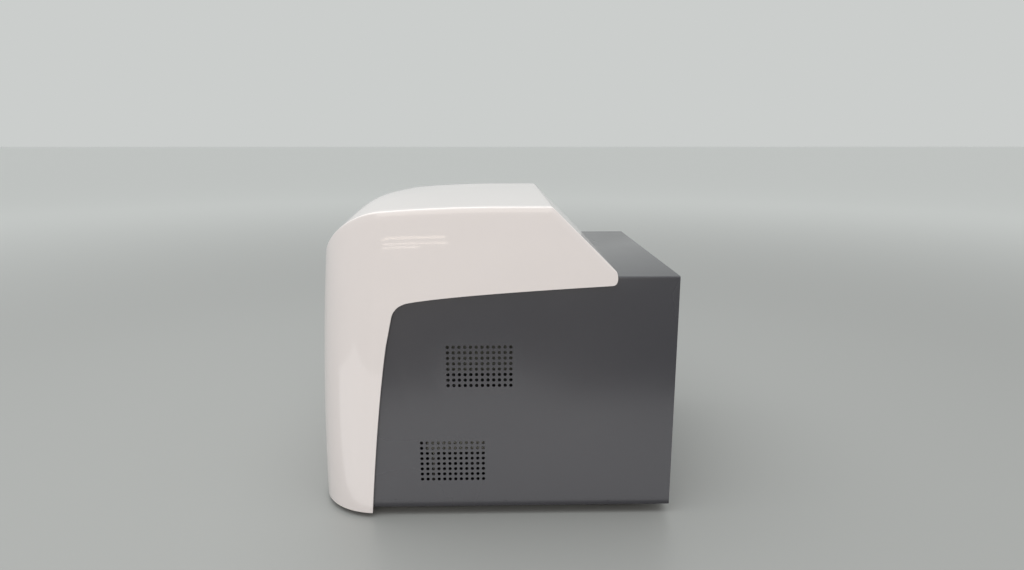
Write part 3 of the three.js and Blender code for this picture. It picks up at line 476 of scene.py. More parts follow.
button_x, button_z = (button_low.x + button_high.x) / 2, (button_low.z + button_high.z) / 2
BUTTON_RADIUS = (button_high.x - button_low.x) / 2
FRONT_CUT = (-0.30, -0.205)  # the depths between which a tool cuts the front wall and nothing else
inside_half = HOOD_HALF - HOOD_WALL + 0.15 * MM
clear_z = chassis_high.z + SMALL_GAP
roof_room = [(-0.1535, 0.30), (0.40, 0.30), (0.40, clear_z), (-0.1535, clear_z)]
hood_tools = [
    prism(hood_underside(), "X", -0.4, 0.4),
    prism(roof_room, "X", -inside_half, inside_half),
    prism(rounded_outline((door_low.x - DOOR_GAP, door_low.z - DOOR_GAP),
                          (door_high.x + DOOR_GAP, door_high.z + DOOR_TOP_GAP), 5 * MM), "Y", *FRONT_CUT),
    prism(rounded_outline((bezel_low.x - BEZEL_GAP, bezel_low.z - SMALL_GAP),
                          (bezel_high.x + BEZEL_GAP, bezel_high.z + SMALL_GAP), 5 * MM), "Y", *FRONT_CUT),
    prism(round_outline(button_x, button_z, BUTTON_RADIUS + SMALL_GAP), "Y", *FRONT_CUT),
    prism(rounded_outline((usb_low.x - SMALL_GAP, usb_low.z - SMALL_GAP),
                          (usb_high.x + SMALL_GAP, usb_high.z + SMALL_GAP), 1.5 * MM), "Y", *FRONT_CUT),
]
place_piece("hood", carve(hood_shell(HOOD_WALL), hood_tools), WHITE_GLOSS, "housing",
            ["front_hood"], ease=0.5 * MM, sharp=40)

# ---------------------------------------------------------------- front door
# The door is a 3 mm skin in the same white plastic, moulded to the hood's own curve, with a folded
# lip inside its lower edge as a finger pull. Two plated gooseneck arms screw to its inner face and
# turn on pins under the hood's brow.

DOOR_SKIN = 3 * MM
DOOR_MIDDLE = (door_low.x + door_high.x) / 2
LIP_Z, LIP_HALF, LIP_DEPTH = door_low.z + 6.5 * MM, 40 * MM, 16 * MM
door_outline = rounded_outline((door_low.x, door_low.z), (door_high.x, door_high.z), 4 * MM)
door_mesh = carve(hood_shell(DOOR_SKIN), [prism(door_outline, "Y", *FRONT_CUT)], "INTERSECT")
lip_outline = rounded_outline((DOOR_MIDDLE - LIP_HALF, front_at(LIP_Z) + 1 * MM),
                              (DOOR_MIDDLE + LIP_HALF, front_at(LIP_Z) + LIP_DEPTH), 5 * MM)
door_mesh = carve(door_mesh, [prism(lip_outline, "Z", LIP_Z, LIP_Z + DOOR_SKIN)], "UNION")
place_piece("door_panel", door_mesh, WHITE_GLOSS, "door", ["front_door"],
            ease=0.5 * MM, sharp=40)


def eased_copy(node, material, body, ease, name=None, segments=2, sharp=30.0):
    """A plain part with its edges broken: its doubles are merged, its flat triangles joined into
    whole faces, and a bevel rounds every fold that is sharper than the limit."""
    made = bmesh.new()
    made.from_mesh(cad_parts[node].data)
    bmesh.ops.remove_doubles(made, verts=made.verts, dist=1e-5)
    bmesh.ops.dissolve_limit(made, angle_limit=math.radians(0.5), verts=made.verts, edges=made.edges)
    mesh = bpy.data.meshes.new(node)
    made.to_mesh(mesh)
    made.free()
    return place_piece(name or node + "_part", mesh, material, body, [node], ease, sharp, segments)


ZINC = grained("zinc plated sheet", (0.60, 0.60, 0.56), 0.36, grain_scale=500, bump=0.10, shade=0.22,
               smear=0.25, smear_scale=28, metallic=0.9)
BLACK_MOULDING = grained("matt black moulding", (0.020, 0.020, 0.022), 0.52, grain_scale=1400, bump=0.25,
                         shade=0.20, smear=0.15)
for side in ("left", "right"):
    eased_copy("door_arm_" + side, ZINC, "door", 0.4 * MM)
    eased_copy("door_pivot_" + side, BLACK_MOULDING, "housing", 0.5 * MM)

# ---------------------------------------------------------------- chassis cover
# The cover is one steel sheet, 1.5 mm thick, folded over the frame of the machine and finished in a
# dark grey powder coat. Its vents are punched as 12 by 8 round holes, and three small dimples are
# pressed in above the lower edge of each side. Its roof starts under the hood.

SHEET = 1.5 * MM
FOLD = 2.5 * MM
COVER_HALF, COVER_TOP, COVER_BOTTOM = chassis_high.x, chassis_high.z, chassis_low.z
FRONT_EDGE_TOP, ROOF_FRONT = -148 * MM, 66 * MM
VENT_PITCH, VENT_HOLE, VENT_COLUMNS, VENT_ROWS = 7.5 * MM, 4.5 * MM, 12, 8


def folded_profile(half, top, bottom, radius, steps=6):
    """Half a circle's worth of turns over a box: up the right side, round one fold, across, round
    the other fold and down, as (X, Z)."""
    turn = np.linspace(0, math.pi / 2, steps)
    right = np.stack([half - radius + radius * np.cos(turn), top - radius + radius * np.sin(turn)], 1)
    left = right[::-1] * np.array([-1.0, 1.0])
    return np.concatenate([[(half, bottom)], right, left, [(-half, bottom)]])


def drilled(centres, radius, axis, low, high, sides=20):
    """Many round drills as one solid: a circle about each centre, carried along the axis."""
    turn = np.linspace(0, 2 * math.pi, sides, endpoint=False)
    circle = np.stack([np.cos(turn), np.sin(turn)], 1) * radius
    rims = np.asarray(centres)[:, None, :] + circle[None]
    ends = [np.insert(rims, "XYZ".index(axis), level, axis=2) for level in (low, high)]
    points = np.stack(ends, 1).reshape(-1, 3)
    one = np.arange(sides)
    walls = ring_bridge(one, one + sides)
    starts = np.arange(len(rims)) * 2 * sides
    faces = (walls[None] + starts[:, None, None]).reshape(-1, 4).tolist()
    faces += (one[::-1][None] + starts[:, None]).tolist() + (one[None] + sides + starts[:, None]).tolist()
    return closed_mesh("drills", points, faces)


def vent_centres(nodes):
    """The middles of every hole in these vents, as (Y, Z)."""
    spots = []
    for node in nodes:
        low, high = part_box(node)
        column = (low.y + high.y) / 2 + (np.arange(VENT_COLUMNS) - (VENT_COLUMNS - 1) / 2) * VENT_PITCH
        row = (low.z + high.z) / 2 + (np.arange(VENT_ROWS) - (VENT_ROWS - 1) / 2) * VENT_PITCH
        spots.append(np.stack(np.meshgrid(column, row), -1).reshape(-1, 2))
    return np.concatenate(spots)


outer_fold = folded_profile(COVER_HALF, COVER_TOP, COVER_BOTTOM, FOLD)
inner_fold = folded_profile(COVER_HALF - SHEET, COVER_TOP - SHEET, COVER_BOTTOM, FOLD - SHEET)
cover_outline = np.concatenate([outer_fold, inner_fold[::-1]])
RIGHT_VENTS = ["vent_screen_upper_right", "vent_screen_lower_right"]
LEFT_VENTS = ["vent_screen_lower_left"]
base_dimples = [(-0.134, 0.0248), (0.016, 0.0214), (0.156, 0.0196)]
DIMPLE_RADIUS, DIMPLE_DEPTH = 1.3 * MM, 0.5 * MM
cover_tools = [
    prism([(chassis_low.y - 0.1, COVER_BOTTOM - 0.02), (chassis_low.y, COVER_BOTTOM),
           (FRONT_EDGE_TOP, COVER_TOP), (FRONT_EDGE_TOP, COVER_TOP + 0.02),
           (chassis_low.y - 0.1, COVER_TOP + 0.02)], "X", -0.3, 0.3),
    prism([(-0.3, COVER_TOP - 0.05), (ROOF_FRONT, COVER_TOP - 0.05), (ROOF_FRONT, COVER_TOP + 0.02),
           (-0.3, COVER_TOP + 0.02)], "X", -COVER_HALF + SHEET + FOLD, COVER_HALF - SHEET - FOLD),
    drilled(vent_centres(RIGHT_VENTS), VENT_HOLE / 2, "X", 0.21, 0.23),
    drilled(vent_centres(LEFT_VENTS), VENT_HOLE / 2, "X", -0.23, -0.21),
    drilled(base_dimples, DIMPLE_RADIUS, "X", COVER_HALF - DIMPLE_DEPTH, 0.23, 12),
    drilled(base_dimples, DIMPLE_RADIUS, "X", -0.23, DIMPLE_DEPTH - COVER_HALF, 12),
]
POWDER_COAT = grained("dark powder coat", (0.027, 0.0262, 0.034), 0.26, grain_scale=1100, bump=0.22,
                      bump_depth=0.06 * MM, shade=0.10, smear=0.12, smear_scale=6, fleck=0.25, coat=0.4,
                      coat_roughness=0.22)
cover_mesh = carve(prism(cover_outline, "Y", chassis_low.y, chassis_high.y), cover_tools)
place_piece("folded_cover", cover_mesh, POWDER_COAT, "housing",
            ["chassis_cover", *RIGHT_VENTS, *LEFT_VENTS], sharp=25)

# ---------------------------------------------------------------- base pan and feet
# The base pan is a shallow black tray with upturned sides. Four moulded rubber feet, hollow
# underneath, are screwed up into it.

BLACK_COAT = grained("black coat", (0.018, 0.018, 0.020), 0.55, grain_scale=1000, bump=0.3, shade=0.15,
                     smear=0.1)
eased_copy("base_pan", BLACK_COAT, "housing", 0.3 * MM)


def turned_mesh(name, profile, sides=48, flutes=0, depth=0.0):
    """A lathe shape about Z: each (radius, height) row is swept round the axis, and the radius may
    swing in and out by a depth, as a cosine of the angle times the number of flutes."""
    profile = np.asarray(profile, float)
    turn = np.linspace(0, 2 * math.pi, sides, endpoint=False)
    radius = profile[:, 0:1] + np.where(profile[:, 0:1] > 0, depth, 0) * np.cos(flutes * turn)[None]
    points = np.stack([radius * np.cos(turn), radius * np.sin(turn),
                       np.repeat(profile[:, 1:2], sides, 1)], 2).reshape(-1, 3)
    return closed_mesh(name, points, grid_faces(len(profile), sides, wrap=True))


def moved_mesh(mesh, place, axis="Z", spin=0.0):
    """Turns a mesh drawn about Z so that Z points along the axis, after a spin, and moves it."""
    tilt = {"Z": Matrix.Identity(4), "X": Matrix.Rotation(math.pi / 2, 4, "Y"),
            "Y": Matrix.Rotation(-math.pi / 2, 4, "X")}[axis]
    mesh.transform(Matrix.Translation(Vector(place)) @ tilt @ Matrix.Rotation(spin, 4, "Z"))
    return mesh


RUBBER = grained("black rubber", (0.014, 0.014, 0.015), 0.75, grain_scale=700, bump=0.3, shade=0.2,
                 smear=0.1)
for corner in ("front_left", "front_right", "rear_left", "rear_right"):
    low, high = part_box("foot_" + corner)
    top = high.z / MM
    foot_profile = np.array([(0, 3), (4, 3), (5, 2.2), (11, 2.2), (11.6, 0.3), (12.2, 0), (14.2, 0),
                             (15.0, 0.5), (15.3, 1.4), (15.8, top - 1.2), (15.2, top - 0.3), (14.6, top),
                             (0, top)]) * MM
    foot_place = ((low.x + high.x) / 2, (low.y + high.y) / 2, 0)
    place_piece("rubber_foot_" + corner, moved_mesh(turned_mesh("foot", foot_profile), foot_place), RUBBER,
                "housing", ["foot_" + corner], sharp=50)

# ---------------------------------------------------------------- rear panel
# The rear panel is a flat coated sheet, punched for two fans, the power module and the data
# sockets. Zinc plated pan-head screws hold the cover's rear edges to it.

rear_low, rear_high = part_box("rear_panel")
module_low, module_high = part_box("power_inlet")
port_low, port_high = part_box("port_panel")
fan_boxes = {side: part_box("exhaust_fan_frame_" + side) for side in ("left", "right")}
fan_middle = {side: ((a.x + b.x) / 2, (a.z + b.z) / 2) for side, (a, b) in fan_boxes.items()}
FAN_WALL, FAN_SCREW, SCREW_HOLE = 3 * MM, 41.25 * MM, 2.2 * MM
FAN_BORE = (fan_boxes["left"][1].x - fan_boxes["left"][0].x) / 2 - FAN_WALL
PAST = 0.01  # how far a cutting tool runs out past the face that it opens
panel_gap = 0.3 * MM
rear_cut = (rear_low.y - PAST, rear_high.y + PAST)
corner_signs = np.array([(-1, -1), (-1, 1), (1, 1), (1, -1)])
rear_tools = [
    drilled(list(fan_middle.values()), FAN_BORE, "Y", *rear_cut, sides=72),
    drilled(np.concatenate([np.array(fan_middle[side]) + corner_signs * FAN_SCREW for side in fan_middle]),
            SCREW_HOLE, "Y", *rear_cut),
    prism(rounded_outline((module_low.x - panel_gap, module_low.z - panel_gap),
                          (module_high.x + panel_gap, module_high.z + panel_gap), 1 * MM), "Y", *rear_cut),
    prism(rounded_outline((port_low.x - panel_gap, port_low.z - panel_gap),
                          (port_high.x + panel_gap, port_high.z + panel_gap), 1 * MM), "Y", *rear_cut),
]
panel_outline = rounded_outline((rear_low.x, rear_low.z), (rear_high.x, rear_high.z), 2 * MM)
place_piece("rear_sheet", carve(prism(panel_outline, "Y", rear_low.y, rear_high.y), rear_tools), POWDER_COAT,
            "housing", ["rear_panel"], ease=0.25 * MM)

STEEL = grained("bright steel", (0.56, 0.57, 0.58), 0.28, grain_scale=600, bump=0.08, shade=0.12, smear=0.2,
                smear_scale=30, metallic=1.0)


def pan_screw(radius, height):
    """A pan-head screw about Z: a domed profile, cut by a cross of two slots with rounded ends."""
    t = np.linspace(0, 1, 9)
    dome = np.stack([radius * np.sqrt(1 - t**2), height * (0.25 + 0.75 * t)], 1)
    profile = np.concatenate([[(0, 0), (radius, 0)], dome])
    head = turned_mesh("screw", profile, sides=32)
    long, wide = radius * 0.55, radius * 0.13
    slots = [prism(rounded_outline((-a, -b), (a, b), wide * 0.9), "Z", height * 0.45, height * 1.5)
             for a, b in ((long, wide), (wide, long))]
    return carve(head, slots)


for side in ("left", "right"):
    for number in ("1", "2"):
        node = f"rear_screw_{side}_{number}"
        low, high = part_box(node)
        screw_place = ((low.x + high.x) / 2, low.y, (low.z + high.z) / 2)
        screw = moved_mesh(pan_screw((high.x - low.x) / 2, high.y - low.y), screw_place, "Y",
                           0.4 if number == "1" else 1.1)
        place_piece("cover_screw_" + side + "_" + number, screw, STEEL, "housing", [node], sharp=40)

# ---------------------------------------------------------------- fans
# Two square fans draw air out through the rear panel, and a larger one blows up into the heat sink.
# Each has a moulded frame with flanges and struts, and a rotor of seven twisted blades. Chromed
# wire guards, bent from round wire and spot welded, cover the two at the back.


def fan_frame_mesh(size, depth):
    """A square frame about Z: flanges at both ends, a waist cut away at its corners between them,
    a bore that flares at its mouths, four screw holes, and a motor cup on four leaning struts."""
    half, bore = size / 2, size / 2 - FAN_WALL
    body = prism(rounded_outline((-half, -half), (half, half), 5 * MM), "Z", 0, depth)
    flare = np.array([(0, -1 * MM), (bore + 1.2 * MM, -1 * MM), (bore + 1.0 * MM, 0.6 * MM),
                      (bore, 3.5 * MM), (bore, depth - 3.5 * MM), (bore + 1.0 * MM, depth - 0.6 * MM),
                      (bore + 1.2 * MM, depth + 1 * MM), (0, depth + 1 * MM)])
    screw, flange = half - 4.9 * MM, 4.5 * MM
    edge, far = half - 13 * MM, half + 5 * MM
    waist = [prism([(a * edge, b * far), (a * far, b * far), (a * far, b * edge)], "Z",
                   flange, depth - flange) for a, b in corner_signs]
    frame_mesh = carve(body, [turned_mesh("bore", flare, sides=72),
                              drilled(corner_signs * screw, SCREW_HOLE, "Z", -PAST, depth + PAST)] + waist)
    cup = turned_mesh("cup", np.array([(0, 0), (0.195 * size, 0), (0.2 * size, 0.8 * MM),
                                       (0.2 * size, 3 * MM), (0, 3 * MM)]), sides=48)
    parts = [cup]
    inner_end, outer_end = 0.15 * size, half - 2.2 * MM
    for step in range(4):
        arm = prism([(inner_end, -2 * MM), (outer_end, 3.2 * MM), (outer_end, 7 * MM), (inner_end, 2 * MM)],
                    "Z", 0.2 * MM, 2.8 * MM)
        arm.transform(Matrix.Rotation(step * math.pi / 2, 4, "Z"))
        parts.append(arm)
    return carve(frame_mesh, parts, "UNION")


def thick_sheet(name, grid, thickness):
    """A solid sheet on a grid of points: both faces lie half the thickness away along the normal,
    which is the cross product of the grid's two directions."""
    normal = unit(np.cross(np.gradient(grid, axis=0), np.gradient(grid, axis=1)))
    rows, columns = grid.shape[:2]
    count = rows * columns
    index = np.arange(count).reshape(rows, columns)
    rim = np.concatenate([index[0], index[1:, -1], index[-1, ::-1][1:], index[::-1, 0][1:-1]])
    points = np.concatenate([(grid + normal * thickness / 2).reshape(-1, 3),
                             (grid - normal * thickness / 2).reshape(-1, 3)])
    faces = np.concatenate([grid_faces(rows, columns), grid_faces(rows, columns, count),
                            ring_bridge(rim, rim + count)])
    return closed_mesh(name, points, faces)


def joined_mesh(name, meshes):
    """All the meshes as one, side by side."""
    made = bmesh.new()
    for mesh in meshes:
        made.from_mesh(mesh)
    whole = bpy.data.meshes.new(name)
    made.to_mesh(whole)
    made.free()
    return whole


def rotor_mesh(size, depth, blades=7):
    """A rotor about Z: a hub with a rounded rim, and blades that sweep forward as they go out. Over
    a blade, the angle runs with the chord and the sweep, and the height falls across the chord."""
    hub_radius, tip = 0.19 * size, size / 2 - 5 * MM
    low, high = 4 * MM, depth - 2 * MM
    hub_profile = np.array([(0, low), (hub_radius - 1 * MM, low), (hub_radius, low + 0.6 * MM),
                            (hub_radius, high - 1.5 * MM), (hub_radius - 0.5 * MM, high - 0.5 * MM),
                            (hub_radius - 1.6 * MM, high), (0, high)])
    out = np.linspace(0, 1, 9)[:, None]
    chord = np.linspace(-0.5, 0.5, 11)[None, :]
    radius = hub_radius - 0.8 * MM + (tip - hub_radius + 0.8 * MM) * out
    angle = chord * (0.62 + 0.10 * out) + 0.28 * out**2
    rise = (depth - 9 * MM) * (0.86 - 0.18 * out)
    height = depth / 2 + 1.2 * MM - rise * (chord + 0.10 * (1 - 4 * chord**2))
    blade = np.stack([radius * np.cos(angle), radius * np.sin(angle), height + 0 * radius], 2)
    spun = []
    for number in range(blades):
        one = thick_sheet("blade", blade, 1.3 * MM)
        one.transform(Matrix.Rotation(2 * math.pi * number / blades, 4, "Z"))
        spun.append(one)
    return carve(turned_mesh("hub", hub_profile, sides=56), spun, "UNION")


def wire(path, radius, up, sides=10, closed=False):
    """A round wire: a circle carried along a path of points, held square to the path's direction."""
    path = np.asarray(path, float)
    tangent = unit(np.roll(path, -1, 0) - np.roll(path, 1, 0) if closed else np.gradient(path, axis=0))
    across = unit(np.cross(tangent, np.asarray(up, float)))
    over = np.cross(across, tangent)
    turn = np.linspace(0, 2 * math.pi, sides, endpoint=False)
    points = path[:, None] + radius * (across[:, None] * np.cos(turn)[None, :, None]
                                       + over[:, None] * np.sin(turn)[None, :, None])
    count = len(path)
    if closed:
        points = np.concatenate([points, points[:1]])
        return closed_mesh("wire", points.reshape(-1, 3), grid_faces(count + 1, sides, wrap=True))
    faces = grid_faces(count, sides, wrap=True).tolist()
    faces += [list(range(sides))[::-1], list(range((count - 1) * sides, count * sides))]
    return closed_mesh("wire", points.reshape(-1, 3), faces)


def guard_mesh(middle, start, reach):
    """A finger guard: four wire rings about the fan's axis and two bent spokes across them, whose
    ends curl into eyes for the fan's screws."""
    x, z = middle
    parts = []
    for radius in (13, 22.5, 32, 41.5):
        flat = round_outline(x, z, radius * MM, 72)
        ring = np.insert(flat, 1, start + 1.25 * MM, axis=1)
        parts.append(wire(ring, 0.55 * MM, (0, 1, 0), closed=True))
    for angle in np.radians([45, 135, 225, 315]):
        direction = np.array([math.cos(angle), math.sin(angle)])
        side = np.array([-direction[1], direction[0]])
        eye_turn = np.linspace(math.pi * 1.15, math.pi * 2.85, 20)
        eye = 2.6 * MM * (np.cos(eye_turn)[:, None] * -direction + np.sin(eye_turn)[:, None] * side)
        line = np.linspace(11 * MM, reach - 2.9 * MM, 8)[:, None] * direction
        flat = np.concatenate([line, reach * direction + eye])
        path = np.stack([x + flat[:, 0], np.full(len(flat), start + 0.65 * MM), z + flat[:, 1]], 1)
        parts.append(wire(path, 0.6 * MM, (0, 1, 0)))
    return joined_mesh("guard", parts)


CHROME_WIRE = grained("chromed wire", (0.66, 0.67, 0.68), 0.16, grain_scale=400, bump=0.03, shade=0.08,
                      metallic=1.0)
FAN_PLASTIC = grained("black fan moulding", (0.017, 0.017, 0.018), 0.42, bump=0.15, shade=0.2, smear=0.15)
for side, (low, high) in fan_boxes.items():
    x, z = fan_middle[side]
    size, depth = high.x - low.x, high.y - low.y
    place_piece("fan_frame_" + side, moved_mesh(fan_frame_mesh(size, depth), (x, low.y, z), "Y"),
                FAN_PLASTIC, "housing", ["exhaust_fan_frame_" + side], sharp=35)
    place_piece("fan_rotor_" + side, moved_mesh(rotor_mesh(size, depth), (x, low.y, z), "Y"),
                FAN_PLASTIC, "exhaust_rotor_" + side, ["exhaust_fan_rotor_" + side],
                sharp=35)
    guard_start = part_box("fan_guard_" + side)[0].y
    place_piece("wire_guard_" + side, guard_mesh((x, z), guard_start, FAN_SCREW * math.sqrt(2)),
                CHROME_WIRE, "housing", ["fan_guard_" + side], sharp=50)

low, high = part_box("block_fan_frame")
block_fan_size, block_fan_depth = high.x - low.x, high.z - low.z
block_fan_place = ((low.x + high.x) / 2, (low.y + high.y) / 2, low.z)
block_fan_frame = fan_frame_mesh(block_fan_size, block_fan_depth)
place_piece("block_fan_case", moved_mesh(block_fan_frame, block_fan_place), FAN_PLASTIC,
            "housing", ["block_fan_frame"], sharp=35)
block_rotor = rotor_mesh(block_fan_size, block_fan_depth)
place_piece("block_fan_blades", moved_mesh(block_rotor, block_fan_place), FAN_PLASTIC,
            "block_rotor", ["block_fan_rotor"], sharp=35)

# ---------------------------------------------------------------- rear connections
# The power module is one black moulding: an appliance inlet with flat brass blades, a fuse drawer
# and the pocket of the rocker switch. The data sockets are steel shells round plastic tongues.

module_x, module_z = (module_low.x + module_high.x) / 2, (module_low.z + module_high.z) / 2
MODULE_REAR = module_high.y
SOCKET_Z, ROCKER_Z = module_z - 14 * MM, module_z + 16 * MM


def block(low, high, radius=0.0):
    """A box between two corners. With a radius, its four edges along Y are quarter rounds."""
    outline = rounded_outline((low[0], low[2]), (high[0], high[2]), radius or 1e-5, 6 if radius else 2)
    return prism(outline, "Y", low[1], high[1])


socket_outline = np.array([(-12, -8), (12, -8), (12, 3.5), (7.5, 8), (-7.5, 8), (-12, 3.5)]) * MM
module_tools = [
    prism(socket_outline + (module_x, SOCKET_Z), "Y", MODULE_REAR - 16.4 * MM, MODULE_REAR + PAST),
    block((module_x - 10.6 * MM, MODULE_REAR - 15 * MM, ROCKER_Z - 7.6 * MM),
          (module_x + 10.6 * MM, MODULE_REAR + PAST, ROCKER_Z + 7.6 * MM), 0.8 * MM),
    carve(block((module_x - 11 * MM, MODULE_REAR - 0.8 * MM, module_z - 4.2 * MM),
                (module_x + 11 * MM, MODULE_REAR + PAST, module_z + 4.8 * MM), 1 * MM),
          [block((module_x - 10.4 * MM, MODULE_REAR - 0.02, module_z - 3.6 * MM),
                 (module_x + 10.4 * MM, MODULE_REAR + 0.02, module_z + 4.2 * MM), 0.8 * MM)]),
    block((module_x - 3 * MM, MODULE_REAR - 1.2 * MM, module_z + 2.6 * MM),
          (module_x + 3 * MM, MODULE_REAR + PAST, module_z + 4.6 * MM), 0.3 * MM),
]
module_body = block(module_low, module_high, 3 * MM)
place_piece("power_module", carve(module_body, module_tools), BLACK_MOULDING, "housing",
            ["power_inlet"], ease=0.4 * MM)
BRASS = grained("plated brass", (0.62, 0.52, 0.30), 0.25, grain_scale=500, bump=0.05, shade=0.1, smear=0.2,
                metallic=1.0)
blades = [block((module_x + dx * MM - 1 * MM, MODULE_REAR - 16.6 * MM, SOCKET_Z + (lift - 2) * MM),
                (module_x + dx * MM + 1 * MM, MODULE_REAR - 4.4 * MM, SOCKET_Z + (lift + 2) * MM), 0.3 * MM)
          for dx, lift in ((-7, -1), (0, 3), (7, -1))]
place_piece("inlet_blades", joined_mesh("inlet_blades", blades), BRASS, "housing", ease=0.2 * MM)

rocker_low, rocker_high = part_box("power_rocker")
rocker_x = (rocker_low.x + rocker_high.x) / 2
ROCKER_HALF = (rocker_high.x - rocker_low.x) / 2
ROCKER_TILT = math.radians(10)
KEY_HALF = 6.7
rise = np.linspace(-KEY_HALF, KEY_HALF, 15)
key_face = np.stack([0.9 * (rise / KEY_HALF) ** 2, rise], 1)
rocker_outline = np.concatenate([key_face, [(-5, KEY_HALF), (-7, 0), (-5, -KEY_HALF)]]) * MM
rocker_mesh = prism(rocker_outline, "X", -ROCKER_HALF, ROCKER_HALF)
rocker_place = Matrix.Translation((rocker_x, rear_high.y, ROCKER_Z)) @ Matrix.Rotation(ROCKER_TILT, 4, "X")
rocker_mesh.transform(rocker_place)
place_piece("rocker_key", rocker_mesh, BLACK_MOULDING, "rocker", ["power_rocker"],
            ease=0.3 * MM, sharp=40)

port_x, port_z, port_rear = (port_low.x + port_high.x) / 2, (port_low.z + port_high.z) / 2, port_high.y
network = np.array([(-7, -6), (-3, -6), (-3, -6.9), (3, -6.9), (3, -6), (7, -6), (7, 5.5), (-7, 5.5)]) * MM
port_tools = [prism(network + (port_x - 21 * MM, port_z), "Y", port_rear - 13 * MM, port_rear + PAST)]
tongues = [block((port_x - 26 * MM, port_rear - 13.2 * MM, port_z + 2 * MM),
                 (port_x - 16 * MM, port_rear - 4 * MM, port_z + 4 * MM), 0.3 * MM)]
for middle in (0.5 * MM, 20.5 * MM):
    port_tools.append(block((port_x + middle - 6.5 * MM, port_rear - 13 * MM, port_z - 3 * MM),
                            (port_x + middle + 6.5 * MM, port_rear + PAST, port_z + 3 * MM), 0.4 * MM))
    tongues.append(block((port_x + middle - 5.5 * MM, port_rear - 13.2 * MM, port_z + 0.3 * MM),
                         (port_x + middle + 5.5 * MM, port_rear - 1 * MM, port_z + 2.2 * MM), 0.2 * MM))
place_piece("data_sockets", carve(block(port_low, port_high, 1.5 * MM), port_tools), STEEL,
            "housing", ["port_panel"], ease=0.25 * MM)
place_piece("socket_tongues", joined_mesh("socket_tongues", tongues), BLACK_MOULDING,
            "housing", ease=0.2 * MM)

# ---------------------------------------------------------------- display and controls
# The touch screen sits in a black bezel that leans back with the front face. Under it are a round
# power button with a moulded power mark, and one data socket for a memory stick.

screen_x, screen_z = (bezel_low.x + bezel_high.x) / 2, 274 * MM
SCREEN_HALF, GLASS_HALF, GLASS_GAP = (48 * MM, 77 * MM), (42 * MM, 68 * MM), 0.4 * MM
SCREEN_LEAN = math.atan2(front_at(screen_z + 0.07) - front_at(screen_z - 0.07), 0.14)
screen_place = (Matrix.Translation((screen_x, front_at(screen_z) + 0.6 * MM, screen_z))
                @ Matrix.Rotation(-SCREEN_LEAN, 4, "X"))


def on_display(mesh):
    """Leans a mesh that was drawn upright round the screen's middle, and puts it in the front face."""
    mesh.transform(screen_place)
    return mesh


def panel(half, near, far, radius):
    """A rounded upright plate, from one depth to another behind the screen's face."""
    return block((-half[0], near, -half[1]), (half[0], far, half[1]), radius)


glass_room = (GLASS_HALF[0] + GLASS_GAP, GLASS_HALF[1] + GLASS_GAP)
bezel_mesh = carve(panel(SCREEN_HALF, 0, 8 * MM, 6 * MM), [panel(glass_room, -PAST, 0.02, 3.4 * MM)])
place_piece("display_bezel", on_display(bezel_mesh), BLACK_MOULDING, "housing",
            ["screen_bezel"], ease=0.9 * MM, sharp=40, segments=3)
DARK_GLASS = grained("dark display glass", (0.006, 0.007, 0.010), 0.07, grain_scale=60, bump=0.004,
                     shade=0.3, smear_scale=14, coat=1.0, coat_roughness=0.02, ior=1.52)
place_piece("display_glass", on_display(panel(GLASS_HALF, 0.6 * MM, 5 * MM, 3 * MM)), DARK_GLASS,
            "housing", ["touch_screen"], ease=0.3 * MM)
BOARD_GREEN = grained("green solder mask", (0.018, 0.10, 0.045), 0.32, grain_scale=260, bump=0.2, shade=0.5,
                      smear=0.15, smear_scale=120, fleck=0.5)
eased_copy("display_board", BOARD_GREEN, "housing", 0.2 * MM)

GREY_MOULDING = grained("grey moulding", (0.15, 0.155, 0.165), 0.45, grain_scale=1300, bump=0.25,
                        shade=0.10)
button_face = button_low.y
button_length = (button_high.y - button_low.y) / MM
button_profile = np.array([(0, 0.55), (3.0, 0.50), (5.8, 0.30), (7.6, 0.08), (8.3, 0), (8.8, 0.25),
                           (9.0, 0.8), (9.0, button_length), (0, button_length)]) * MM
button_mesh = moved_mesh(turned_mesh("button", button_profile, sides=64),
                         (button_x, button_face, button_z), "Y")
place_piece("power_button_cap", button_mesh, GREY_MOULDING, "button", ["power_button"],
            sharp=50)
MARK_RADIUS, MARK_WIRE = 3.1 * MM, 0.32 * MM
mark_turn = np.radians(np.linspace(125, 415, 30))
mark_ring = np.stack([button_x + MARK_RADIUS * np.cos(mark_turn), np.full(30, button_face + 0.35 * MM),
                      button_z + MARK_RADIUS * np.sin(mark_turn)], 1)
mark_bar = np.array([(button_x, button_face + 0.38 * MM, button_z + h * MM) for h in (0.9, 2.3, 3.6)])
WHITE_MARK = grained("white marking", (0.70, 0.72, 0.72), 0.4)
mark_wires = [wire(path, MARK_WIRE, (0, 1, 0), 8) for path in (mark_ring, mark_bar)]
place_piece("power_mark", joined_mesh("power_mark", mark_wires), WHITE_MARK, "button",
            sharp=60)

usb_x, usb_z = (usb_low.x + usb_high.x) / 2, (usb_low.z + usb_high.z) / 2
usb_mesh = carve(block(usb_low, usb_high, 1.2 * MM),
                 [block((usb_x - 6.2 * MM, usb_low.y - PAST, usb_z - 2.6 * MM),
                        (usb_x + 6.2 * MM, usb_high.y - 4 * MM, usb_z + 2.6 * MM), 0.4 * MM)])
place_piece("front_socket_shell", usb_mesh, STEEL, "housing", ["front_usb_socket"],
            ease=0.3 * MM)
usb_tongue = block((usb_x - 5.6 * MM, usb_low.y + 0.8 * MM, usb_z + 0.2 * MM),
                   (usb_x + 5.6 * MM, usb_high.y - 3.8 * MM, usb_z + 2 * MM), 0.2 * MM)
place_piece("front_socket_tongue", usb_tongue, BLACK_MOULDING, "housing",
            ease=0.2 * MM)

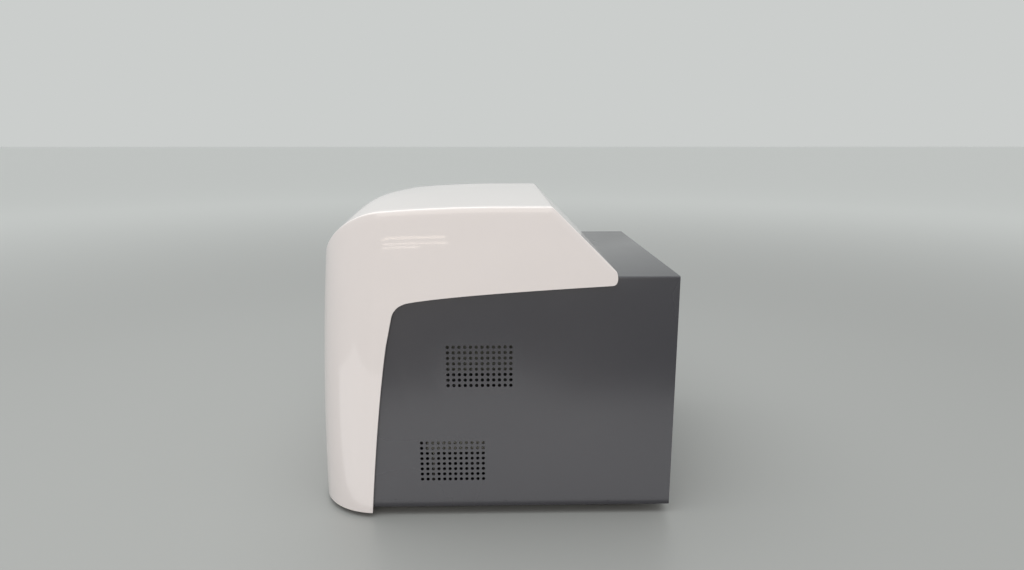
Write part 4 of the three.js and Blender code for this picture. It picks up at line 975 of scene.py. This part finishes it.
# ---------------------------------------------------------------- sample bay
# A black moulded tray lines the bay. Through its floor stands an aluminium block with 96 tapered
# wells, bead blasted and anodised clear. It sits on a ceramic heat pump and a finned heat sink that
# hangs in a plated steel bridge.

eased_copy("chamber_liner", BLACK_MOULDING, "housing", 0.7 * MM)
eased_copy("block_deck", ZINC, "housing", 0.4 * MM)
eased_copy("block_surround", BLACK_MOULDING, "housing", 1.0 * MM, segments=3)
BEAD_BLASTED = grained("bead blasted aluminium", (0.70, 0.71, 0.72), 0.42, grain_scale=1600, bump=0.5,
                       smear=0.08, metallic=1.0)
MACHINED = grained("machined aluminium", (0.66, 0.67, 0.68), 0.34, grain_scale=500, bump=0.12, shade=0.12,
                   smear=0.18, smear_scale=22, metallic=1.0)
eased_copy("heat_sink", MACHINED, "housing", 0.3 * MM)
CERAMIC = grained("fired ceramic", (0.72, 0.70, 0.65), 0.5, bump=0.1)
eased_copy("peltier_plate", CERAMIC, "housing", 0.3 * MM)

block_low, block_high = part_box("sample_block")
WELL_PITCH, WELL_TOP, WELL_FOOT, WELL_DEPTH = 9 * MM, 3.1 * MM, 1.3 * MM, 15 * MM
WELL_CHAMFER = 0.45 * MM
well_x = (block_low.x + block_high.x) / 2 + (np.arange(12) - 5.5) * WELL_PITCH
well_y = (block_low.y + block_high.y) / 2 + (np.arange(8) - 3.5) * WELL_PITCH


def tapered_wells(centres, top, foot, high, depth, sides=16):
    """Many tapered wells as one solid. Each has four circles about its centre: the foot, the foot
    of the mouth's chamfer 1 mm down, the mouth, and the same circle again 1 mm above the block."""
    turn = np.linspace(0, 2 * math.pi, sides, endpoint=False)
    circle = np.stack([np.cos(turn), np.sin(turn), 0 * turn], 1)
    sizes = [foot, top - WELL_CHAMFER, top, top]
    levels = [high - depth, high - 1 * MM, high, high + 1 * MM]
    rings = [centres[:, None] + circle[None] * size + (0, 0, level) for size, level in zip(sizes, levels)]
    points = np.stack(rings, 1).reshape(-1, 3)
    one = np.arange(sides)
    walls = np.concatenate([ring_bridge(one + k * sides, one + (k + 1) * sides) for k in range(3)])
    starts = np.arange(len(centres)) * 4 * sides
    faces = (walls[None] + starts[:, None, None]).reshape(-1, 4).tolist()
    faces += (one[::-1][None] + starts[:, None]).tolist() + (one[None] + 3 * sides + starts[:, None]).tolist()
    return closed_mesh("wells", points, faces)


well_centres = np.stack([*np.meshgrid(well_x, well_y), np.zeros((8, 12))], -1).reshape(-1, 3)
plain_block = prism(rounded_outline((block_low.x, block_low.y), (block_high.x, block_high.y), 3 * MM), "Z",
                    block_low.z, block_high.z)
well_block = carve(plain_block, [tapered_wells(well_centres, WELL_TOP, WELL_FOOT, block_high.z, WELL_DEPTH)])
place_piece("well_block", well_block, BEAD_BLASTED, "housing", ["sample_block"], sharp=30)

# ---------------------------------------------------------------- heated lid
# The lid is a grey moulded cover over an aluminium plate, hinged behind on a steel pin between two
# plated ears. A heated plate with one sight hole for each well hangs under it, and a bail handle at
# the front pulls it down.

eased_copy("lid_hinge_frame", ZINC, "housing", 0.3 * MM)
eased_copy("lid_housing", GREY_MOULDING, "lid", 1.0 * MM, segments=3, sharp=25)
eased_copy("lid_base_plate", MACHINED, "lid", 0.3 * MM)
eased_copy("lid_handle", GREY_MOULDING, "handle", 1.6 * MM, segments=4)
plate_low, plate_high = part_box("heater_plate")
RIM_X, RIM_Y, PLATE_FLOOR, SIGHT_HOLE = 14 * MM, 12 * MM, 5 * MM, 2.2 * MM
plate_outline = rounded_outline((plate_low.x, plate_low.y), (plate_high.x, plate_high.y), 3 * MM)
tray_outline = rounded_outline((plate_low.x + RIM_X, plate_low.y + RIM_Y),
                               (plate_high.x - RIM_X, plate_high.y - RIM_Y), 2 * MM)
plate_mesh = carve(prism(plate_outline, "Z", plate_low.z, plate_high.z),
                   [prism(tray_outline, "Z", plate_low.z + PLATE_FLOOR, plate_high.z + PAST)])
from_middle = np.abs(well_centres[:, :2] - (well_x.mean(), well_y.mean()))
inside = (from_middle[:, 0] < 51 * MM) & (from_middle[:, 1] < 33 * MM)
plate_mesh = carve(plate_mesh, [drilled(well_centres[inside, :2], SIGHT_HOLE, "Z",
                                        plate_low.z - PAST, plate_high.z, 16)])
place_piece("sight_plate", plate_mesh, MACHINED, "lid", ["heater_plate"], ease=0.0)


def round_bar(node, axis, material, body, chamfer=0.6 * MM):
    """A turned bar in place of a plain one: a cylinder along an axis, with a chamfer at each end."""
    low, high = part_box(node)
    along = "XYZ".index(axis)
    across = (along + 1) % 3
    radius, length = (high[across] - low[across]) / 2, high[along] - low[along]
    profile = np.array([(0, 0), (radius - chamfer, 0), (radius, chamfer), (radius, length - chamfer),
                        (radius - chamfer, length), (0, length)])
    place = (low + high) / 2
    place[along] = low[along]
    mesh = moved_mesh(turned_mesh(node, profile, sides=40), place, axis)
    return place_piece(node + "_bar", mesh, material, body, [node], sharp=30)


GROUND_STEEL = grained("ground steel", (0.60, 0.61, 0.62), 0.18, bump=0.04, smear=0.1, metallic=1.0)
round_bar("lid_hinge_pin", "X", GROUND_STEEL, "housing")

# ---------------------------------------------------------------- optics scanner
# Inside the lid a black anodised scanning head runs along two ground steel rods. A stepper motor
# draws it with a toothed rubber belt, which turns round an idler on a post at the far end.

for rod in ("guide_rod_front", "guide_rod_rear"):
    round_bar(rod, "X", GROUND_STEEL, "lid")
round_bar("idler_post", "Z", GROUND_STEEL, "lid")
ANODISED = grained("black anodised aluminium", (0.022, 0.022, 0.025), 0.36, bump=0.1, shade=0.15,
                   metallic=0.3)
eased_copy("optics_carriage", ANODISED, "carriage", 0.6 * MM)

motor_low, motor_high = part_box("scan_motor")
motor_x, motor_y = (motor_low.x + motor_high.x) / 2, (motor_low.y + motor_high.y) / 2
motor_half = (motor_high.x - motor_low.x) / 2
CASE_TOP = 252 * MM


def squared(half, radius, low, high):
    """A square block about Z with rounded corners, between two heights."""
    return prism(rounded_outline((-half, -half), (half, half), radius), "Z", low, high)


CAP_HEIGHT = 6 * MM
shaft_profile = np.array([(0, CASE_TOP - 1 * MM), (9 * MM, CASE_TOP - 1 * MM), (9 * MM, CASE_TOP + 1.5 * MM),
                          (2.5 * MM, CASE_TOP + 1.5 * MM), (2.5 * MM, motor_high.z - 0.4 * MM),
                          (2.1 * MM, motor_high.z), (0, motor_high.z)])
motor_parts = [squared(motor_half, 3 * MM, CASE_TOP - CAP_HEIGHT, CASE_TOP),
               squared(motor_half, 3 * MM, motor_low.z, motor_low.z + CAP_HEIGHT),
               turned_mesh("shaft", shaft_profile)]
motor_core = squared(motor_half - 0.8 * MM, 5 * MM, motor_low.z + 1 * MM, CASE_TOP - 1 * MM)
motor_mesh = carve(motor_core, motor_parts, "UNION")
place_piece("stepper_motor", moved_mesh(motor_mesh, (motor_x, motor_y, 0)), STEEL, "lid",
            ["scan_motor"], ease=0.3 * MM)

PULLEY_TEETH = 24
for node, body in (("drive_pulley", "drive_wheel"), ("idler_pulley", "idler_wheel")):
    low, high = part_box(node)
    rim = (high.x - low.x) / 2
    height = high.z - low.z
    turn = np.linspace(0, 2 * math.pi, PULLEY_TEETH * 6, endpoint=False)
    radius = rim - 2.1 * MM + 0.3 * MM * np.tanh(3 * np.cos(PULLEY_TEETH * turn))
    barrel_outline = np.stack([radius * np.cos(turn), radius * np.sin(turn)], 1)
    barrel = prism(barrel_outline, "Z", 0.5 * MM, height - 0.5 * MM)
    flanges = [turned_mesh("flange", np.array([(0, base), (rim - 0.2 * MM, base), (rim, base + 0.3 * MM),
                                               (rim, base + 0.7 * MM), (rim - 0.2 * MM, base + 1 * MM),
                                               (0, base + 1 * MM)])) for base in (0, height - 1 * MM)]
    wheel = carve(carve(barrel, flanges, "UNION"), [drilled([(0, 0)], 2.85 * MM, "Z", -PAST, 0.02, 32)])
    place_piece(node.replace("_pulley", "_toothed_wheel"),
                moved_mesh(wheel, ((low.x + high.x) / 2, (low.y + high.y) / 2, low.z)), MACHINED, body,
                [node], sharp=35)

belt_low, belt_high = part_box("scan_belt")
belt_outer = (belt_high.y - belt_low.y) / 2
belt_y = (belt_high.y + belt_low.y) / 2
left_x, right_x = belt_low.x + belt_outer, belt_high.x - belt_outer
TOOTH_PITCH = 2 * MM


def belt_mesh():
    """A belt that runs straight between two half circles. Along it, the back stays smooth, while
    the inner side rises and falls once each tooth pitch."""
    run = right_x - left_x
    lap = math.pi * belt_outer
    total = 2 * (run + lap)
    along = np.linspace(0, total, int(total / TOOTH_PITCH) * 4, endpoint=False)
    turn_right = np.clip((along - run) / lap, 0, 1)
    turn_left = np.clip((along - 2 * run - lap) / lap, 0, 1)
    angle = -math.pi / 2 + math.pi * (turn_right + turn_left)
    middle_x = left_x + np.clip(along, 0, run) - np.clip(along - run - lap, 0, run)
    outward = np.stack([np.cos(angle), np.sin(angle)], 1)
    middle = np.stack([middle_x, np.full(len(along), belt_y)], 1)
    depth = 0.9 * MM + 0.5 * MM * (np.cos(along / TOOTH_PITCH * 2 * math.pi) > 0)
    back = middle + outward * belt_outer
    inner = middle + outward * (belt_outer - depth)[:, None]
    levels = [(back, belt_low.z), (back, belt_high.z), (inner, belt_high.z), (inner, belt_low.z)]
    points = np.stack([np.column_stack([flat, np.full(len(along), z)]) for flat, z in levels], 1)
    points = np.concatenate([points, points[:1]])
    return closed_mesh("belt", points.reshape(-1, 3), grid_faces(len(points), 4, wrap=True))


place_piece("toothed_belt", belt_mesh(), RUBBER, "lid", ["scan_belt"], sharp=40)

# ---------------------------------------------------------------- electronics
# A plated power supply case stands behind the upper vent. The main board lies on a plated shelf
# behind the lower one, with capacitors and chips soldered along it.

SUPPLY_CASE = grained("dull plated case", (0.16, 0.16, 0.135), 0.5, grain_scale=400, bump=0.2, shade=0.5,
                      smear=0.2, smear_scale=40, metallic=0.35)
eased_copy("power_supply", SUPPLY_CASE, "housing", 0.6 * MM)
# The shelf uses the plated case's material painted lighter: painted light, so the shelf seen through the
# lower vent looks lit.
SHELF_PLATE_PAINTED_LIGHTER = grained("plated shelf painted lighter", (0.34, 0.33, 0.29), 0.5, grain_scale=400, bump=0.2, shade=0.4,
                      smear=0.2, smear_scale=40, metallic=0.35)
eased_copy("board_shelf", SHELF_PLATE_PAINTED_LIGHTER, "housing", 0.3 * MM)
eased_copy("main_board", BOARD_GREEN, "housing", 0.2 * MM)
BOARD_TOP = 94 * MM
can_spots = ((0.160, -0.060), (0.160, -0.042), (0.178, -0.060), (0.178, -0.042), (0.112, 0.060),
             (0.130, 0.060), (0.112, 0.078), (0.150, 0.108))
can_profile = np.array([(0, 0), (5.6, 0), (6, 0.8), (6, 14), (5.4, 15), (4.8, 14.7), (0, 14.7)]) * MM
cans = [moved_mesh(turned_mesh("can", can_profile, sides=24), (x, y, BOARD_TOP)) for x, y in can_spots]
place_piece("board_capacitors", joined_mesh("board_capacitors", cans), STEEL, "housing",
            sharp=40)
chip_spots = ((0.165, -0.010, 10, 10), (0.165, 0.025, 7, 12), (0.165, 0.060, 12, 7), (0.120, -0.045, 9, 9),
              (0.108, 0.108, 6, 10), (0.180, 0.095, 5, 8))
chips = [block((x - a * MM, y - b * MM, BOARD_TOP), (x + a * MM, y + b * MM, BOARD_TOP + 2.2 * MM))
         for x, y, a, b in chip_spots]
place_piece("board_chips", joined_mesh("board_chips", chips), BLACK_MOULDING, "housing",
            ease=0.3 * MM)
